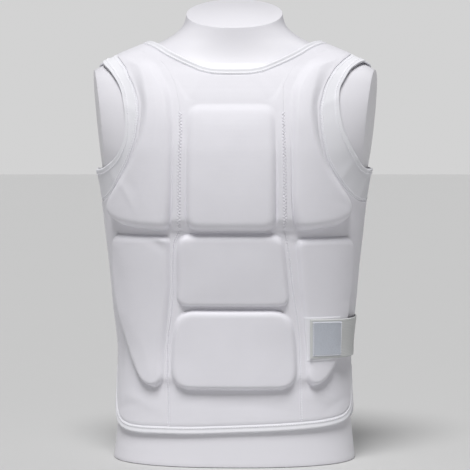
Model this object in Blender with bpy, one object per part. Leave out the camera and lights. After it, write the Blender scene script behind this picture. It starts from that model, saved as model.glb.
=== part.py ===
"""A karate chest protector worn on a limbless dress form.

The vest is cut as a front of three foam-padded panels, a plain back, a band round each
armhole, bindings on the neck and both hems, and an elastic strap that comes round the
wearer's left side and closes on the front. Each piece is a closed wall, 0.3 mm from the
next at its seams. The form is one smooth solid with a flat base, which it stands on.

Front is -Y, up is +Z and the wearer's left is +X. "left" and "right" in names are the
viewer's, so "right" is +X. The tables are in millimetres and degrees. An angle is measured
round the form from the centre front, and "across" is the length round it from there.
"""

import math

import bmesh
import bpy
import numpy as np

MM = 0.001

# The figure's level sections: height, half width, front depth, back depth, squareness
FIGURE = np.array([
    (0, 163, 104, 112, 2.35),
    (45, 158, 103, 107, 2.3),
    (95, 154, 101, 97, 2.25),
    (150, 152.5, 99, 90, 2.2),
    (205, 158.5, 101, 90, 2.2),
    (250, 162.5, 106, 95, 2.2),
    (300, 168, 112, 102, 2.2),
    (350, 174, 117, 108, 2.2),
    (390, 182, 118.5, 111, 2.25),
    (420, 195, 117, 112, 2.25),
    (453, 205, 112, 111, 2.25),
    (480, 208, 103, 106, 2.25),
    (505, 203, 90, 97, 2.2),
    (519, 190, 81, 90, 2.1),
    (530, 167, 76, 84, 2.05),
    (546, 129, 70.5, 77, 2.0),
    (562, 90, 66.5, 70, 2.0),
    (579, 69.5, 64, 66, 2.0),
    (603, 63.5, 62, 63, 2.0),
    (640, 62.5, 61.5, 62, 2.0),
])
NECK_CUT_HEIGHT, NECK_CUT_TILT = 597.0, 20.5
ARM_CUT_REACH, ARM_CUT_HEIGHT, ARM_CUT_TURN, ARM_CUT_LEAN = 183.5, 453.0, 8.3, 5.2
ARM_CUT_FOOT = 200.0
FORM_RINGS, FORM_SIDES = 36, 44

# Walls and gaps
FRONT_WALL, PLAIN_WALL, STRAP_WALL = 3.0, 2.0, 1.6
TAB_WALL, PATCH_WALL = 0.8, 0.8
SEAM_GAP = 0.3
EASE, SIDE_EASE = 1.1, 1.4
NECK_EASE, NECK_EASE_FROM, NECK_EASE_FULL = 1.2, 490.0, 535.0
HOLLOW_EASE, HOLLOW_HEIGHT, HOLLOW_REACH = 4.5, 195.0, 95.0

# The neck's edge: angle, height
NECKLINE = np.array([
    (0, 507.3),
    (22, 509.6),
    (43, 523.5),
    (53, 532.0),
    (61, 539.5),
    (70, 545.0),
    (90, 549.0),
    (110, 547.5),
    (135, 545.0),
    (180, 543.5),
])
SHOULDER_TIP = 536.5

# The two stitched seams of the front: height, left across, right across
SEAMS = np.array([
    (50, 82.8, 89.3),
    (80, 83.5, 89.0),
    (112, 84.0, 87.5),
    (158, 82.8, 86.0),
    (188, 79.0, 83.2),
    (231, 74.8, 76.8),
    (285, 75.0, 70.8),
    (297, 73.0, 69.2),
    (309, 67.5, 66.4),
    (330, 66.0, 65.6),
    (387, 65.8, 65.8),
    (462, 66.9, 65.2),
    (481, 69.9, 65.4),
])
# The same seams on up to the shoulder's ridge: height, left angle, right angle
SEAM_TOPS = np.array([
    (481, 35.3, 32.9),
    (498, 40.0, 36.7),
    (515, 47.8, 45.1),
    (526.5, 55.0, 53.0),
    (533, 62.3, 60.8),
    (538.5, 71.0, 70.0),
    (542.6, 80.5, 80.0),
    (545, 90.0, 90.0),
])

# Armhole seams and arm edges, in front and behind: height, left angle, right angle
ARM_SEAM_FRONT = np.array([
    (343.5, 92, 84),
    (345, 83, 77),
    (350, 74, 69),
    (359, 68.6, 64),
    (378, 62.3, 57),
    (398, 56.7, 51.8),
    (422, 53, 49.3),
    (444, 51.4, 48.6),
    (463, 52.2, 49.3),
    (480, 54.6, 51.9),
    (501, 60.5, 57.6),
    (520, 68.8, 67),
    (532, 80, 78.5),
    (SHOULDER_TIP, 90, 90),
])
ARM_SEAM_BACK = np.array([
    (343.5, 92, 84),
    (346, 99, 93),
    (351, 105, 102),
    (360, 110.5, 109),
    (374, 115, 114.5),
    (392, 119, 119),
    (414, 121.5, 121.5),
    (438, 122.5, 122.5),
    (461, 122, 122),
    (483, 119.5, 119.5),
    (503, 114.5, 114.5),
    (521, 106.5, 106.5),
    (532, 98, 98),
    (SHOULDER_TIP, 90, 90),
])
ARM_EDGE_FRONT = np.array([
    (389.5, 91, 87),
    (388.5, 83, 81.5),
    (389, 75.5, 76),
    (394.5, 68.5, 70.5),
    (404, 63, 66.5),
    (417, 59.3, 62.5),
    (432, 57.4, 59.6),
    (447, 57.2, 57.9),
    (464, 58.4, 57.8),
    (486, 61.8, 59.8),
    (504, 67.4, 65),
    (517, 74.8, 71.5),
    (524.5, 82.5, 79.5),
    (527.5, 90, 90),
])
ARM_EDGE_BACK = np.array([
    (389.5, 91, 87),
    (389.5, 97, 94),
    (393, 103.5, 102),
    (401, 108.5, 108),
    (414, 112.5, 112.5),
    (431, 115.5, 115.5),
    (450, 116.3, 116.3),
    (470, 115.2, 115.2),
    (489, 111.8, 111.8),
    (505, 106.3, 106.3),
    (518, 99, 99),
    (527.5, 90, 90),
])
SIDE_SEAM = {"left": (90.0, 92.0), "right": (87.0, 84.0)}
VENT_TOP, ARMPIT, ARMPIT_STEP = 126.0, 343.5, 5.5

# Where the front meets its hem binding, from corner to corner: across, height
FRONT_HEM = np.array([
    (-170, 60.5),
    (-155, 53),
    (-131, 50.5),
    (-105, 51.3),
    (-60, 52.5),
    (0, 55),
    (45, 56.5),
    (90, 58),
    (132, 60),
    (156, 63.5),
    (172, 71),
])
# The front's edge beside each vent, up from the hem's corner: across, height
FRONT_VENT = {
    "left": np.array([(170, 60.5), (181, 74), (186.5, 90), (188.5, 105), (191, 114)]),
    "right": np.array([(172, 71), (182, 83), (186.5, 97), (188, 108), (190, 115)]),
}
# The back's hem and vents in the same way: angle, height
BACK_VENT = np.array([(101.5, 58), (98, 66), (95.8, 78), (94.8, 92), (94, 105), (92, 115)])
BACK_HEM = np.array([(101.5, 58), (107, 52.5), (120, 49), (150, 48), (180, 48)])

# The middle pads' edges: height, left across, right across
MIDDLE_EDGES = np.array([
    (40, -80.0, 84.5),
    (101, -80.5, 84.5),
    (150, -79.5, 83.5),
    (192, -75.0, 78.5),
    (206.8, -73.0, 75.5),
    (209.8, -71.8, 73.8),
    (240, -72.0, 72.0),
    (290, -71.5, 67.0),
    (305.3, -69.0, 64.0),
    (307.5, -58.8, 52.4),
    (471, -58.8, 52.4),
    (520, -60.0, 54.0),
])
# The side pads' edges: height, left inner, left outer, right inner, right outer
SIDE_EDGES = np.array([
    (45, 88, 122, 95, 118),
    (104, 87.5, 118, 94.5, 114),
    (111, 87.3, 125, 94, 127),
    (130, 86.5, 136, 93, 141.5),
    (164, 85, 149.4, 91, 151),
    (195, 81.5, 162.8, 88, 161),
    (228, 78, 171, 84, 168.3),
    (262, 77.8, 173.5, 82, 171.5),
    (301, 77.5, 170.5, 79, 168),
    (334, 78.6, 178.5, 72.8, 164.5),
    (344, 78.5, 180, 72.3, 164.5),
    (359, 78.4, 165.5, 72.2, 151),
    (378, 78.3, 149.5, 72.2, 135),
    (398, 78.2, 134, 72.2, 119.5),
    (422, 78.1, 124, 72.2, 113.2),
    (444, 78.0, 118.3, 72.2, 109),
    (463, 78.0, 117.8, 72.3, 108.5),
    (481, 80.0, 119.8, 73.0, 111),
    (501, 87.0, 128, 79.5, 119.5),
    (517, 95.0, 139, 88.5, 131.5),
    (531, 106.0, 157, 100.5, 151),
])
# A side chest pad's lower edge: share of its width, rise above its inner corner
CHEST_RISE = np.array([(0, 0), (0.3, 2), (0.55, 4.5), (0.78, 10), (0.93, 18), (1, 27)])
# A side belly pad's lower edge in the same way
BELLY_RISE = np.array([(0, 5), (0.65, 0), (1, 3)])
BELLY_FOOT, BELLY_SPLIT, BELLY_SPLIT_TOP, BELLY_HEAD = 101.0, 206.8, 209.8, 305.3
SIDE_HEAD = {"left": 303.3, "right": 300.5}
CHEST_FOOT, CHEST_HEAD = 307.5, 471.0
SHOULDER_END = 531.0

# How the pads stand out: height, middle pads, side pads, bevel's width, its softness
PAD_RELIEF = np.array([
    (40, 8.5, 8.5, 11.0, 0),
    (305.8, 8.5, 8.5, 11.0, 0),
    (307, 15.0, 15.5, 15.5, 0),
    (355, 13.0, 13.0, 14.5, 0),
    (410, 9.5, 9.5, 13.0, 0),
    (440, 6.8, 7.5, 12.0, 0.1),
    (471, 3.6, 5.0, 11.0, 0.35),
    (490, 2.4, 4.2, 15.0, 0.8),
    (505, 1.6, 3.2, 20.0, 1),
    (545, 0.5, 0.4, 26.0, 1),
])
CORNERS = {"low": 22.0, "plain": 12.0}

# Grid rows between the front's key heights, with the bevel that crowds some of them
BELLY_BEVEL, CHEST_BEVEL = 11.0, 15.0
ROW_BLOCKS = ((3, 0), (6, BELLY_BEVEL), (1, 0), (6, BELLY_BEVEL), (1, 0), (9, CHEST_BEVEL))
VENT_ROW, ARMPIT_ROW, HEAD_ROW, TOP_ROW = 5, 18, 26, 34
MIDDLE_COLUMNS, PAD_COLUMNS, FLANK_COLUMNS = 18, 10, 3
BACK_COLUMNS, BAND_COLUMNS, SHOULDER_ROWS = 20, 3, 3
BEVEL_LIMIT = 0.4
NEAR_EDGE = 0.25
STEEPNESS = 8.0
SETTLING_ROUNDS, ARM_FAN = 300, 1.5

# Bindings: share of the width, height over the form's ease
NECK_BINDING_WIDTH, HEM_BINDING_WIDTH = 9.5, 10.0
NECK_ROLL = np.array([(0, 2.4), (0.18, 3.7), (0.42, 3.2), (0.78, 4.5), (1, 2.6)])
HEM_ROLL = np.array([(0, 2.6), (0.2, 3.9), (0.45, 3.4), (0.8, 4.2), (1, 2.4)])
VENT_TAPER, VENT_TIP = (0.8, 5.5, 9.0), 0.25

# The strap's middle, round the wearer's left side and the back: angle, height
STRAP_RUN = np.array([(45, 167.8), (75, 166.0), (90, 165.5), (180, 159), (272, 154)])
STRAP_EDGES = (-26.5, -23.5, -8.0, 8.0, 23.5, 26.5)
STRAP_KEPT = [0, 2, 3, 5]
STRAP_END, STRAP_SHORT, STRAP_SPACING = 96.5, 1.5, 1.2
STRAP_LEVELS = (110.0, 220.0)
# How far out of the form's ease the strap's inner face runs: across, height
STRAP_LIFT = np.array([
    (90, 13.3),
    (146, 13.0),
    (155, 12.0),
    (165, 9.8),
    (178, 6.6),
    (190, 4.6),
    (204, 3.5),
    (222, 2.8),
    (245, 2.4),
    (460, 2.4),
])
PATCH_ACROSS = (99.5, 140.0)
TAB_HEIGHTS = (137.5, 150, 166, 182, 196.5)
TAB_COLUMNS = (2, 8)

MATERIALS = {
    "form": ((0.80, 0.80, 0.82), 0.5),
    "padded_cloth": ((0.82, 0.82, 0.86), 0.62),
    "plain_cloth": ((0.80, 0.80, 0.84), 0.68),
    "binding": ((0.84, 0.84, 0.87), 0.6),
    "elastic": ((0.72, 0.73, 0.73), 0.7),
    "loop_pile": ((0.50, 0.54, 0.60), 0.9),
}


def through(at, values, where):
    """The values at `where` on the smooth curve through `values` at the stations `at`."""
    at, values = np.asarray(at, float), np.asarray(values, float)
    where = np.clip(where, at[0], at[-1])
    slope = np.gradient(values, at, axis=0)
    i = np.clip(np.searchsorted(at, where, side="right") - 1, 0, len(at) - 2)
    span = at[i + 1] - at[i]
    t = (where - at[i]) / span
    if values.ndim == 2:
        span, t = span[..., None], t[..., None]
    start = values[i] * (1 + 2 * t) + slope[i] * span * t
    end = values[i + 1] * (3 - 2 * t) - slope[i + 1] * span * (1 - t)
    return start * (1 - t) ** 2 + end * t**2


def run_lengths(points):
    """How far along a row of points each one lies."""
    steps = np.linalg.norm(np.diff(points, axis=0), axis=1)
    return np.concatenate([[0.0], np.cumsum(steps)])


def unit(vectors):
    return vectors / np.linalg.norm(vectors, axis=-1, keepdims=True)


def figure_sections():
    """The sections made many, smoothly, with more of them where the outline turns."""
    at = np.concatenate([[0], np.cumsum(np.sqrt(np.hypot(*np.diff(FIGURE[:, :2], axis=0).T)))])
    return through(at, FIGURE, np.linspace(0, at[-1], 1200))


SECTIONS = figure_sections()


def body(angle, height):
    """Points of the figure, each level section a superellipse that is deeper behind."""
    wide, front, back, square = (
        np.interp(height, SECTIONS[:, 0], SECTIONS[:, k]) for k in (1, 2, 3, 4)
    )
    turn = np.radians(angle)
    s, c = np.sin(turn), np.cos(turn)
    deep = np.where(c > 0, front, back)
    r = ((np.abs(s) / wide) ** square + (np.abs(c) / deep) ** square) ** (-1 / square)
    return np.stack([r * s, -r * c, height + 0 * r], axis=-1)


def tangents(angle, height):
    """How the figure's point moves for one degree, and for one millimetre of height."""
    turn, rise = 0.6, 1.5
    round_it = (body(angle + turn, height) - body(angle - turn, height)) / (2 * turn)
    up_it = (body(angle, height + rise) - body(angle, height - rise)) / (2 * rise)
    return round_it, up_it


def skin(angle, height, lift):
    """The figure's points moved straight out by `lift`."""
    angle, height = np.broadcast_arrays(np.asarray(angle, float), np.asarray(height, float))
    out = unit(np.cross(*tangents(angle, height)))
    return body(angle, height) + out * np.asarray(lift, float)[..., None]


GIRTH_ANGLES = np.arange(-180, 181.0)
GIRTH_HEIGHTS = np.arange(0, 604.0, 4.0)


def girth_rings():
    """Lengths round each level section from its centre front."""
    rings = body(GIRTH_ANGLES[None, :], GIRTH_HEIGHTS[:, None])
    steps = np.linalg.norm(np.diff(rings, axis=1), axis=2)
    lengths = np.concatenate([np.zeros((len(rings), 1)), np.cumsum(steps, axis=1)], axis=1)
    return lengths - lengths[:, [180]]


GIRTHS = girth_rings()


def girth_ring(height):
    level = np.clip(height / 4.0, 0, len(GIRTH_HEIGHTS) - 1.001)
    low = level.astype(int)
    share = (level - low)[:, None]
    return GIRTHS[low] * (1 - share) + GIRTHS[low + 1] * share


def across_of(angle, height):
    angle, height = np.broadcast_arrays(np.asarray(angle, float), np.asarray(height, float))
    ring = girth_ring(height.ravel())
    place = np.clip(angle.ravel() + 180, 0, 359.999)
    low = place.astype(int)
    row = np.arange(len(low))
    found = ring[row, low] + (ring[row, low + 1] - ring[row, low]) * (place - low)
    return found.reshape(angle.shape)


def angle_of(across, height):
    across, height = np.broadcast_arrays(np.asarray(across, float), np.asarray(height, float))
    ring = girth_ring(height.ravel())
    flat = across.ravel()
    low = np.clip((ring < flat[:, None]).sum(axis=1) - 1, 0, 359)
    row = np.arange(len(low))
    start, end = ring[row, low], ring[row, low + 1]
    return (low - 180 + (flat - start) / (end - start)).reshape(across.shape)


def ease(angle, height):
    """The gap from form to cloth: the vest bridges the hollow of the back."""
    turn = np.radians(angle)
    behind = np.clip(-np.cos(turn), 0, 1) ** 2
    hollow = np.exp(-(((height - HOLLOW_HEIGHT) / HOLLOW_REACH) ** 2))
    neck = np.clip((height - NECK_EASE_FROM) / (NECK_EASE_FULL - NECK_EASE_FROM), 0, 1)
    return EASE + SIDE_EASE * np.sin(turn) ** 2 + HOLLOW_EASE * behind * hollow + NECK_EASE * neck


def cloth(points, out):
    """Points of the vest `out` beyond the ease, from an array of angles and heights."""
    angle, height = points[..., 0], points[..., 1]
    return skin(angle, height, ease(angle, height) + out)


def trace(points, count):
    """Stations equally far apart on the smooth line through angles and heights."""
    points = np.asarray(points, float)
    at = run_lengths(body(*points.T))
    fine = through(at, points, np.linspace(0, at[-1], 400))
    reach = run_lengths(body(*fine.T))
    where = np.linspace(0, reach[-1], count + 1)
    return np.stack([np.interp(where, reach, column) for column in fine.T], axis=1)


def shifted(path, distance, closed=False):
    """A path moved sideways on the figure, to the left of its run as seen from outside."""
    moved, steps = path.copy(), 4
    distance = np.broadcast_to(distance, len(path))[:, None] / steps
    for _ in range(steps):
        spots = body(*moved.T)
        if closed:
            along = np.roll(spots, -1, axis=0) - np.roll(spots, 1, axis=0)
        else:
            along = np.gradient(spots, axis=0)
        turn, rise = tangents(*moved.T)
        side = unit(np.cross(unit(np.cross(turn, rise)), along)) * distance
        a, b, c = (turn * turn).sum(1), (turn * rise).sum(1), (rise * rise).sum(1)
        p, q = (side * turn).sum(1), (side * rise).sum(1)
        moved += np.stack([c * p - b * q, a * q - b * p], axis=1) / (a * c - b * b)[:, None]
    return moved


def neck_height(angle):
    folded = np.abs((np.asarray(angle, float) + 180) % 360 - 180)
    return through(NECKLINE[:, 0], NECKLINE[:, 1], folded)


def neck_line(start, end, count):
    angles = np.linspace(start, end, 60)
    return trace(np.stack([angles, neck_height(angles)], axis=1), count)


def seam_line(side, heights):
    """The lower part of a stitched front seam, as unsigned across at some heights."""
    return through(SEAMS[:, 0], SEAMS[:, 1 if side == "left" else 2], heights)


def seam_top(side):
    """The rest of the seam, from the chest pads' head to the shoulder, across and height."""
    start = float(angle_of(seam_line(side, CHEST_HEAD), CHEST_HEAD))
    line = np.vstack([[start, CHEST_HEAD], loop_part(SEAM_TOPS, side)])
    line = trace(line, TOP_ROW - HEAD_ROW)
    return np.stack([across_of(*line.T), line[:, 1]], axis=1)


def side_line(side, rows):
    """The side seam from the vent's top to the armpit, as unsigned angle and height."""
    whole = ARMPIT - VENT_TOP
    share = np.append(np.linspace(0, 1 - ARMPIT_STEP / whole, rows), 1)
    low, high = SIDE_SEAM[side]
    return np.stack([low + (high - low) * share, VENT_TOP + whole * share], axis=1)


def loop_part(table, side):
    column = 1 if side == "left" else 2
    return table[:, [column, 0]]


def outer_line(side, front):
    """A panel's edge from its hem's corner up, as unsigned angle and height.

    The front's ends at the shoulder's tip, and the back's goes on along the shoulder.
    """
    top = [SIDE_SEAM[side][0], VENT_TOP]
    if front:
        vent = FRONT_VENT[side]
        low = np.stack([angle_of(vent[:, 0], vent[:, 1]), vent[:, 1]], axis=1)
        arm = loop_part(ARM_SEAM_FRONT, side)
    else:
        low, arm = BACK_VENT, loop_part(ARM_SEAM_BACK, side)
    vent = trace(np.vstack([low, top]), VENT_ROW)
    seam = side_line(side, ARMPIT_ROW - VENT_ROW)
    line = np.vstack([vent, seam[1:], trace(arm, TOP_ROW - ARMPIT_ROW)[1:]])
    if front:
        return line
    shoulder = np.linspace(SHOULDER_TIP, float(neck_height(90)), SHOULDER_ROWS + 1)[1:]
    return np.vstack([line, np.stack([np.full_like(shoulder, 90.0), shoulder], axis=1)])


def steps(count, crowded):
    """Shares of a span and of a bevel that place `count` rows, some close to each edge."""
    if not crowded:
        return np.linspace(0, 1, count + 1), np.zeros(count + 1)
    middle = np.linspace(0, 1, count - 3)
    share = np.concatenate([[0, 0], middle, [1, 1]])
    return share, np.concatenate([[0, NEAR_EDGE], 1 - 2 * middle, [-NEAR_EDGE, 0]])


def climb(keys):
    """The heights of every row up to the chest pads' head, from the key heights."""
    rows = [keys[0]]
    for low, high, (count, bevel) in zip(keys, keys[1:], ROW_BLOCKS):
        share, crowd = steps(count, bevel > 0)
        rows += list(low + np.outer(share, high - low) + bevel * crowd[:, None])[1:]
    return np.array(rows)


def pad_columns(low, high, bevel, count):
    share, crowd = steps(count, True)
    bevel = np.minimum(bevel, BEVEL_LIMIT * (high - low))
    return low[:, None] + np.outer(high - low, share) + bevel[:, None] * crowd


def coons(bottom, top, left, right):
    """Fills four edges that share their corners, each a row of two-number points."""
    s = np.linspace(0, 1, len(bottom))[None, :, None]
    t = np.linspace(0, 1, len(left))[:, None, None]
    sides = left[:, None] * (1 - s) + right[:, None] * s
    ends = bottom[None] * (1 - t) + top[None] * t
    low = bottom[0] * (1 - s) + bottom[-1] * s
    high = top[0] * (1 - s) + top[-1] * s
    return sides + ends - low * (1 - t) - high * t


def settled(grid):
    """Moves a grid's inner points until its cells are even and none folds over."""
    for _ in range(SETTLING_ROUNDS):
        right, left, up, down = grid[1:-1, 2:], grid[1:-1, :-2], grid[2:, 1:-1], grid[:-2, 1:-1]
        across, along = (right - left) / 2, (up - down) / 2
        a, b, c = (
            (first * second).sum(-1, keepdims=True)
            for first, second in ((along, along), (across, along), (across, across))
        )
        corners = grid[2:, 2:] - grid[2:, :-2] - grid[:-2, 2:] + grid[:-2, :-2]
        grid[1:-1, 1:-1] = (a * (right + left) + c * (up + down) - b * corners / 2) / (a + c) / 2
    return grid


def pad_form(height, column):
    return np.interp(height, PAD_RELIEF[:, 0], PAD_RELIEF[:, column])


def middle_grid():
    """The centre panel's points, as across and height, row by row up from the hem."""
    levels = (BELLY_FOOT, BELLY_SPLIT, BELLY_SPLIT_TOP, BELLY_HEAD, CHEST_FOOT, CHEST_HEAD)
    across = np.zeros((HEAD_ROW + 1, MIDDLE_COLUMNS + 1))
    for _ in range(3):
        foot = through(*FRONT_HEM.T, across[0])
        heights = climb([foot] + [np.full_like(foot, level) for level in levels])
        level = heights.mean(axis=1)
        low, high = (np.interp(level, MIDDLE_EDGES[:, 0], MIDDLE_EDGES[:, k]) for k in (1, 2))
        across[:, 1:-1] = pad_columns(low, high, pad_form(level, 3), MIDDLE_COLUMNS - 2)
        across[:, 0] = -seam_line("left", heights[:, 0])
        across[:, -1] = seam_line("right", heights[:, -1])
    lower = np.stack([across, heights], axis=-1)
    left, right = seam_top("left") * (-1, 1), seam_top("right")
    neck = neck_line(-90.0, 90.0, MIDDLE_COLUMNS)
    neck = np.stack([across_of(*neck.T), neck[:, 1]], axis=1)
    left, right = (np.vstack([edge, row]) for edge, row in ((left, neck[:1]), (right, neck[-1:])))
    return np.vstack([lower, settled(coons(lower[-1], neck, left, right))[1:]])


def side_grid(side, seam):
    """A side panel's points, unsigned across and height, from its front seam outwards."""
    inner, outer = (1, 2) if side == "left" else (3, 4)
    edge = outer_line(side, front=True)
    edge = np.stack([across_of(*edge.T), edge[:, 1]], axis=1)
    sign = -1 if side == "left" else 1
    key_rows = np.cumsum([0] + [count for count, _ in ROW_BLOCKS])
    columns = 1 + PAD_COLUMNS + FLANK_COLUMNS
    heights = np.tile(seam[: HEAD_ROW + 1, 1:], columns + 1)
    across = np.zeros_like(heights)
    for _ in range(4):
        near, far = heights[:, 1], heights[:, 1 + PAD_COLUMNS]
        low = np.interp(near, SIDE_EDGES[:, 0], SIDE_EDGES[:, inner])
        high = np.interp(far, SIDE_EDGES[:, 0], SIDE_EDGES[:, outer])
        bevel = pad_form(heights.mean(axis=1), 3)
        across[:, 0], across[:, -1] = seam[: HEAD_ROW + 1, 0], edge[: HEAD_ROW + 1, 0]
        across[:, 1:2 + PAD_COLUMNS] = pad_columns(low, high, bevel, PAD_COLUMNS)
        for k in range(1, FLANK_COLUMNS):
            share = k / FLANK_COLUMNS
            across[:, 1 + PAD_COLUMNS + k] = high * (1 - share) + across[:, -1] * share
        keys = []
        for number, row in enumerate(key_rows):
            ends = (seam[row, 1], edge[row, 1])
            keys.append(key_heights(side, number, across[row], low[row], high[row], ends, sign))
        heights = climb(keys)
        share = (across - across[:, :1]) / (high[:, None] - across[:, :1])
        bend = edge[: HEAD_ROW + 1, 1] - heights[:, -1]
        heights += bend[:, None] * np.clip(share, 0, 1) ** ARM_FAN
    lower = np.stack([across, heights], axis=-1)
    lower[:, 0], lower[:, -1] = seam[: HEAD_ROW + 1], edge[: HEAD_ROW + 1]
    ridge = np.linspace(seam[-1, 1], SHOULDER_TIP, columns + 1)
    top = np.stack([across_of(np.full_like(ridge, 90.0), ridge), ridge], axis=1)
    upper = coons(lower[-1], top, seam[HEAD_ROW:], edge[HEAD_ROW:])
    return np.vstack([lower, upper[1:]])


def key_heights(side, number, across, low, high, ends, sign):
    """A key row's heights on a side panel, which follow the pads' lower and upper edges."""
    share = np.clip((across - low) / (high - low), 0, 1)
    if number == 0:
        heights = through(*FRONT_HEM.T, across * sign)
    elif number == 1:
        heights = BELLY_FOOT + np.interp(share, *BELLY_RISE.T)
    elif number == 4:
        heights = np.full_like(across, SIDE_HEAD[side])
    elif number == 5:
        heights = CHEST_FOOT + through(*CHEST_RISE.T, share)
    else:
        heights = ends[0] + (ends[1] - ends[0]) * (across - across[0]) / (across[-1] - across[0])
    heights[0], heights[-1] = ends
    return heights


def rounded(outline, radius):
    """A closed outline with each corner turned into a short curve."""
    outline = np.asarray(outline, float)
    points = []
    for before, corner, after in zip(np.roll(outline, 1, 0), outline, np.roll(outline, -1, 0)):
        legs = [before - corner, after - corner]
        start, end = (
            corner + leg * min(radius / np.linalg.norm(leg), 0.45) for leg in legs
        )
        for t in np.linspace(0, 1, 5):
            points.append(start * (1 - t) ** 2 + 2 * corner * t * (1 - t) + end * t**2)
    return np.array(points)


def depth_inside(outline, across, height):
    """How far inside a closed outline each point lies, negative outside it."""
    point = np.stack([across, height], axis=-1)[..., None, :]
    start, end = outline, np.roll(outline, -1, axis=0)
    leg = end - start
    share = np.clip(((point - start) * leg).sum(-1) / (leg * leg).sum(-1), 0, 1)
    reach = np.linalg.norm(point - start - leg * share[..., None], axis=-1).min(-1)
    x, y = point[..., 0], point[..., 1]
    spans = (start[:, 1] > y) != (end[:, 1] > y)
    rise = np.where(leg[:, 1] == 0, 1, leg[:, 1])
    crosses = spans & (x < start[:, 0] + leg[:, 0] * (y - start[:, 1]) / rise)
    return np.where(crosses.sum(-1) % 2 == 1, reach, -reach)


def middle_pads():
    """The outlines of the three pads down the middle."""
    outlines = []
    for foot, head, corner in (
        (BELLY_FOOT, BELLY_SPLIT, "low"),
        (BELLY_SPLIT_TOP, BELLY_HEAD, "plain"),
        (CHEST_FOOT, CHEST_HEAD, "plain"),
    ):
        heights = np.linspace(foot, head, 6)
        left, right = (
            np.interp(heights, MIDDLE_EDGES[:, 0], MIDDLE_EDGES[:, k]) for k in (1, 2)
        )
        up = np.stack([right, heights], axis=1)
        down = np.stack([left, heights], axis=1)[::-1]
        outlines.append(rounded(np.vstack([up, down]), CORNERS[corner]))
    return outlines


def side_pads(side):
    """The outlines of a side panel's belly pad and chest pad, in unsigned across."""
    inner, outer = (1, 2) if side == "left" else (3, 4)
    outlines = []
    for foot, head, rise in (
        (BELLY_FOOT, SIDE_HEAD[side], BELLY_RISE),
        (CHEST_FOOT, SHOULDER_END, CHEST_RISE),
    ):
        heights = np.linspace(foot + rise[-1, 1], head, 14)
        far = np.interp(heights, SIDE_EDGES[:, 0], SIDE_EDGES[:, outer])
        heights_in = np.linspace(foot + rise[0, 1], head, 14)
        near = np.interp(heights_in, SIDE_EDGES[:, 0], SIDE_EDGES[:, inner])
        share = np.linspace(0, 1, 9)[1:-1]
        lower = np.interp(share, *rise.T) if foot == BELLY_FOOT else through(*rise.T, share)
        low = np.stack([near[0] + (far[0] - near[0]) * share, foot + lower], axis=1)
        out = np.stack([far, heights], axis=1)
        back = np.stack([near, heights_in], axis=1)[::-1]
        outlines.append(rounded(np.vstack([low, out, back]), CORNERS["plain"]))
    return outlines


def relief(outlines, across, height, column):
    """How far the pads stand out: a full bevel low down, a softer one up on the chest."""
    full, bevel, soft = (pad_form(height, k) for k in (column, 3, 4))
    raised = np.zeros_like(height)
    for outline in outlines:
        share = np.clip(depth_inside(outline, across, height) / bevel, 0, 1)
        round_edge = np.sqrt(1 - (1 - share) ** 2)
        profile = round_edge + (share**2 * (3 - 2 * share) - round_edge) * soft
        raised = np.maximum(raised, full * profile)
    return raised


def to_angles(grid, sign=1):
    """A grid of unsigned across and height as signed angle and height."""
    angle = angle_of(grid[..., 0] * sign, grid[..., 1])
    return np.stack([angle, grid[..., 1]], axis=-1)


def outward(grid):
    """The figure's outward directions at angles and heights."""
    return unit(np.cross(*tangents(grid[..., 0], grid[..., 1])))


def trimmed(points, out, ring):
    """The points with their outer rows and columns drawn in by half a seam's gap."""

    def draw_in(edge, beside, normal):
        if ring:
            along = np.roll(edge, -1, axis=0) - np.roll(edge, 1, axis=0)
        else:
            along = np.gradient(edge, axis=0)
        aside = unit(np.cross(normal, along))
        return aside * np.sign((aside * (beside - edge)).sum()) * SEAM_GAP / 2

    moves = [
        ((slice(None), 0), draw_in(points[:, 0], points[:, 1], out[:, 0])),
        ((slice(None), -1), draw_in(points[:, -1], points[:, -2], out[:, -1])),
    ]
    if not ring:
        moves.append((0, draw_in(points[0], points[1], out[0])))
        moves.append((-1, draw_in(points[-1], points[-2], out[-1])))
    points = points.copy()
    for place, move in moves:
        points[place] += move
    return points


def rim(outer, inner, kept):
    """Triangles between an outer row of vertices and an inner one that skips some."""
    faces = []
    for a, b in zip(range(len(kept)), range(1, len(kept))):
        start, end = kept[a], kept[b]
        half = (start + end + 1) // 2
        for i in range(start, end):
            faces.append((outer[i], outer[i + 1], inner[a] if i < half else inner[b]))
            if i + 1 == half:
                faces.append((inner[a], outer[half], inner[b]))
    return faces


def split(corners, points, lifts):
    """Two triangles of a quad, along the diagonal that folds least, then whose ends match."""
    a, b, c, d = corners
    choices = []
    for p, q, r, s in ((a, b, c, d), (b, c, d, a)):
        long = points[r] - points[p]
        folds = np.cross(points[q] - points[p], long) @ np.cross(long, points[s] - points[p]) < 0
        unlike = abs(lifts[p] - lifts[r]) * STEEPNESS + np.linalg.norm(long)
        choices.append((folds, unlike, ((p, q, r), (p, r, s))))
    return list(min(choices, key=lambda choice: choice[:2])[2])


def quads(index):
    """Every quad of a grid of vertex numbers."""
    for i in range(index.shape[0] - 1):
        for j in range(index.shape[1] - 1):
            yield index[i, j], index[i, j + 1], index[i + 1, j + 1], index[i + 1, j]


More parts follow.
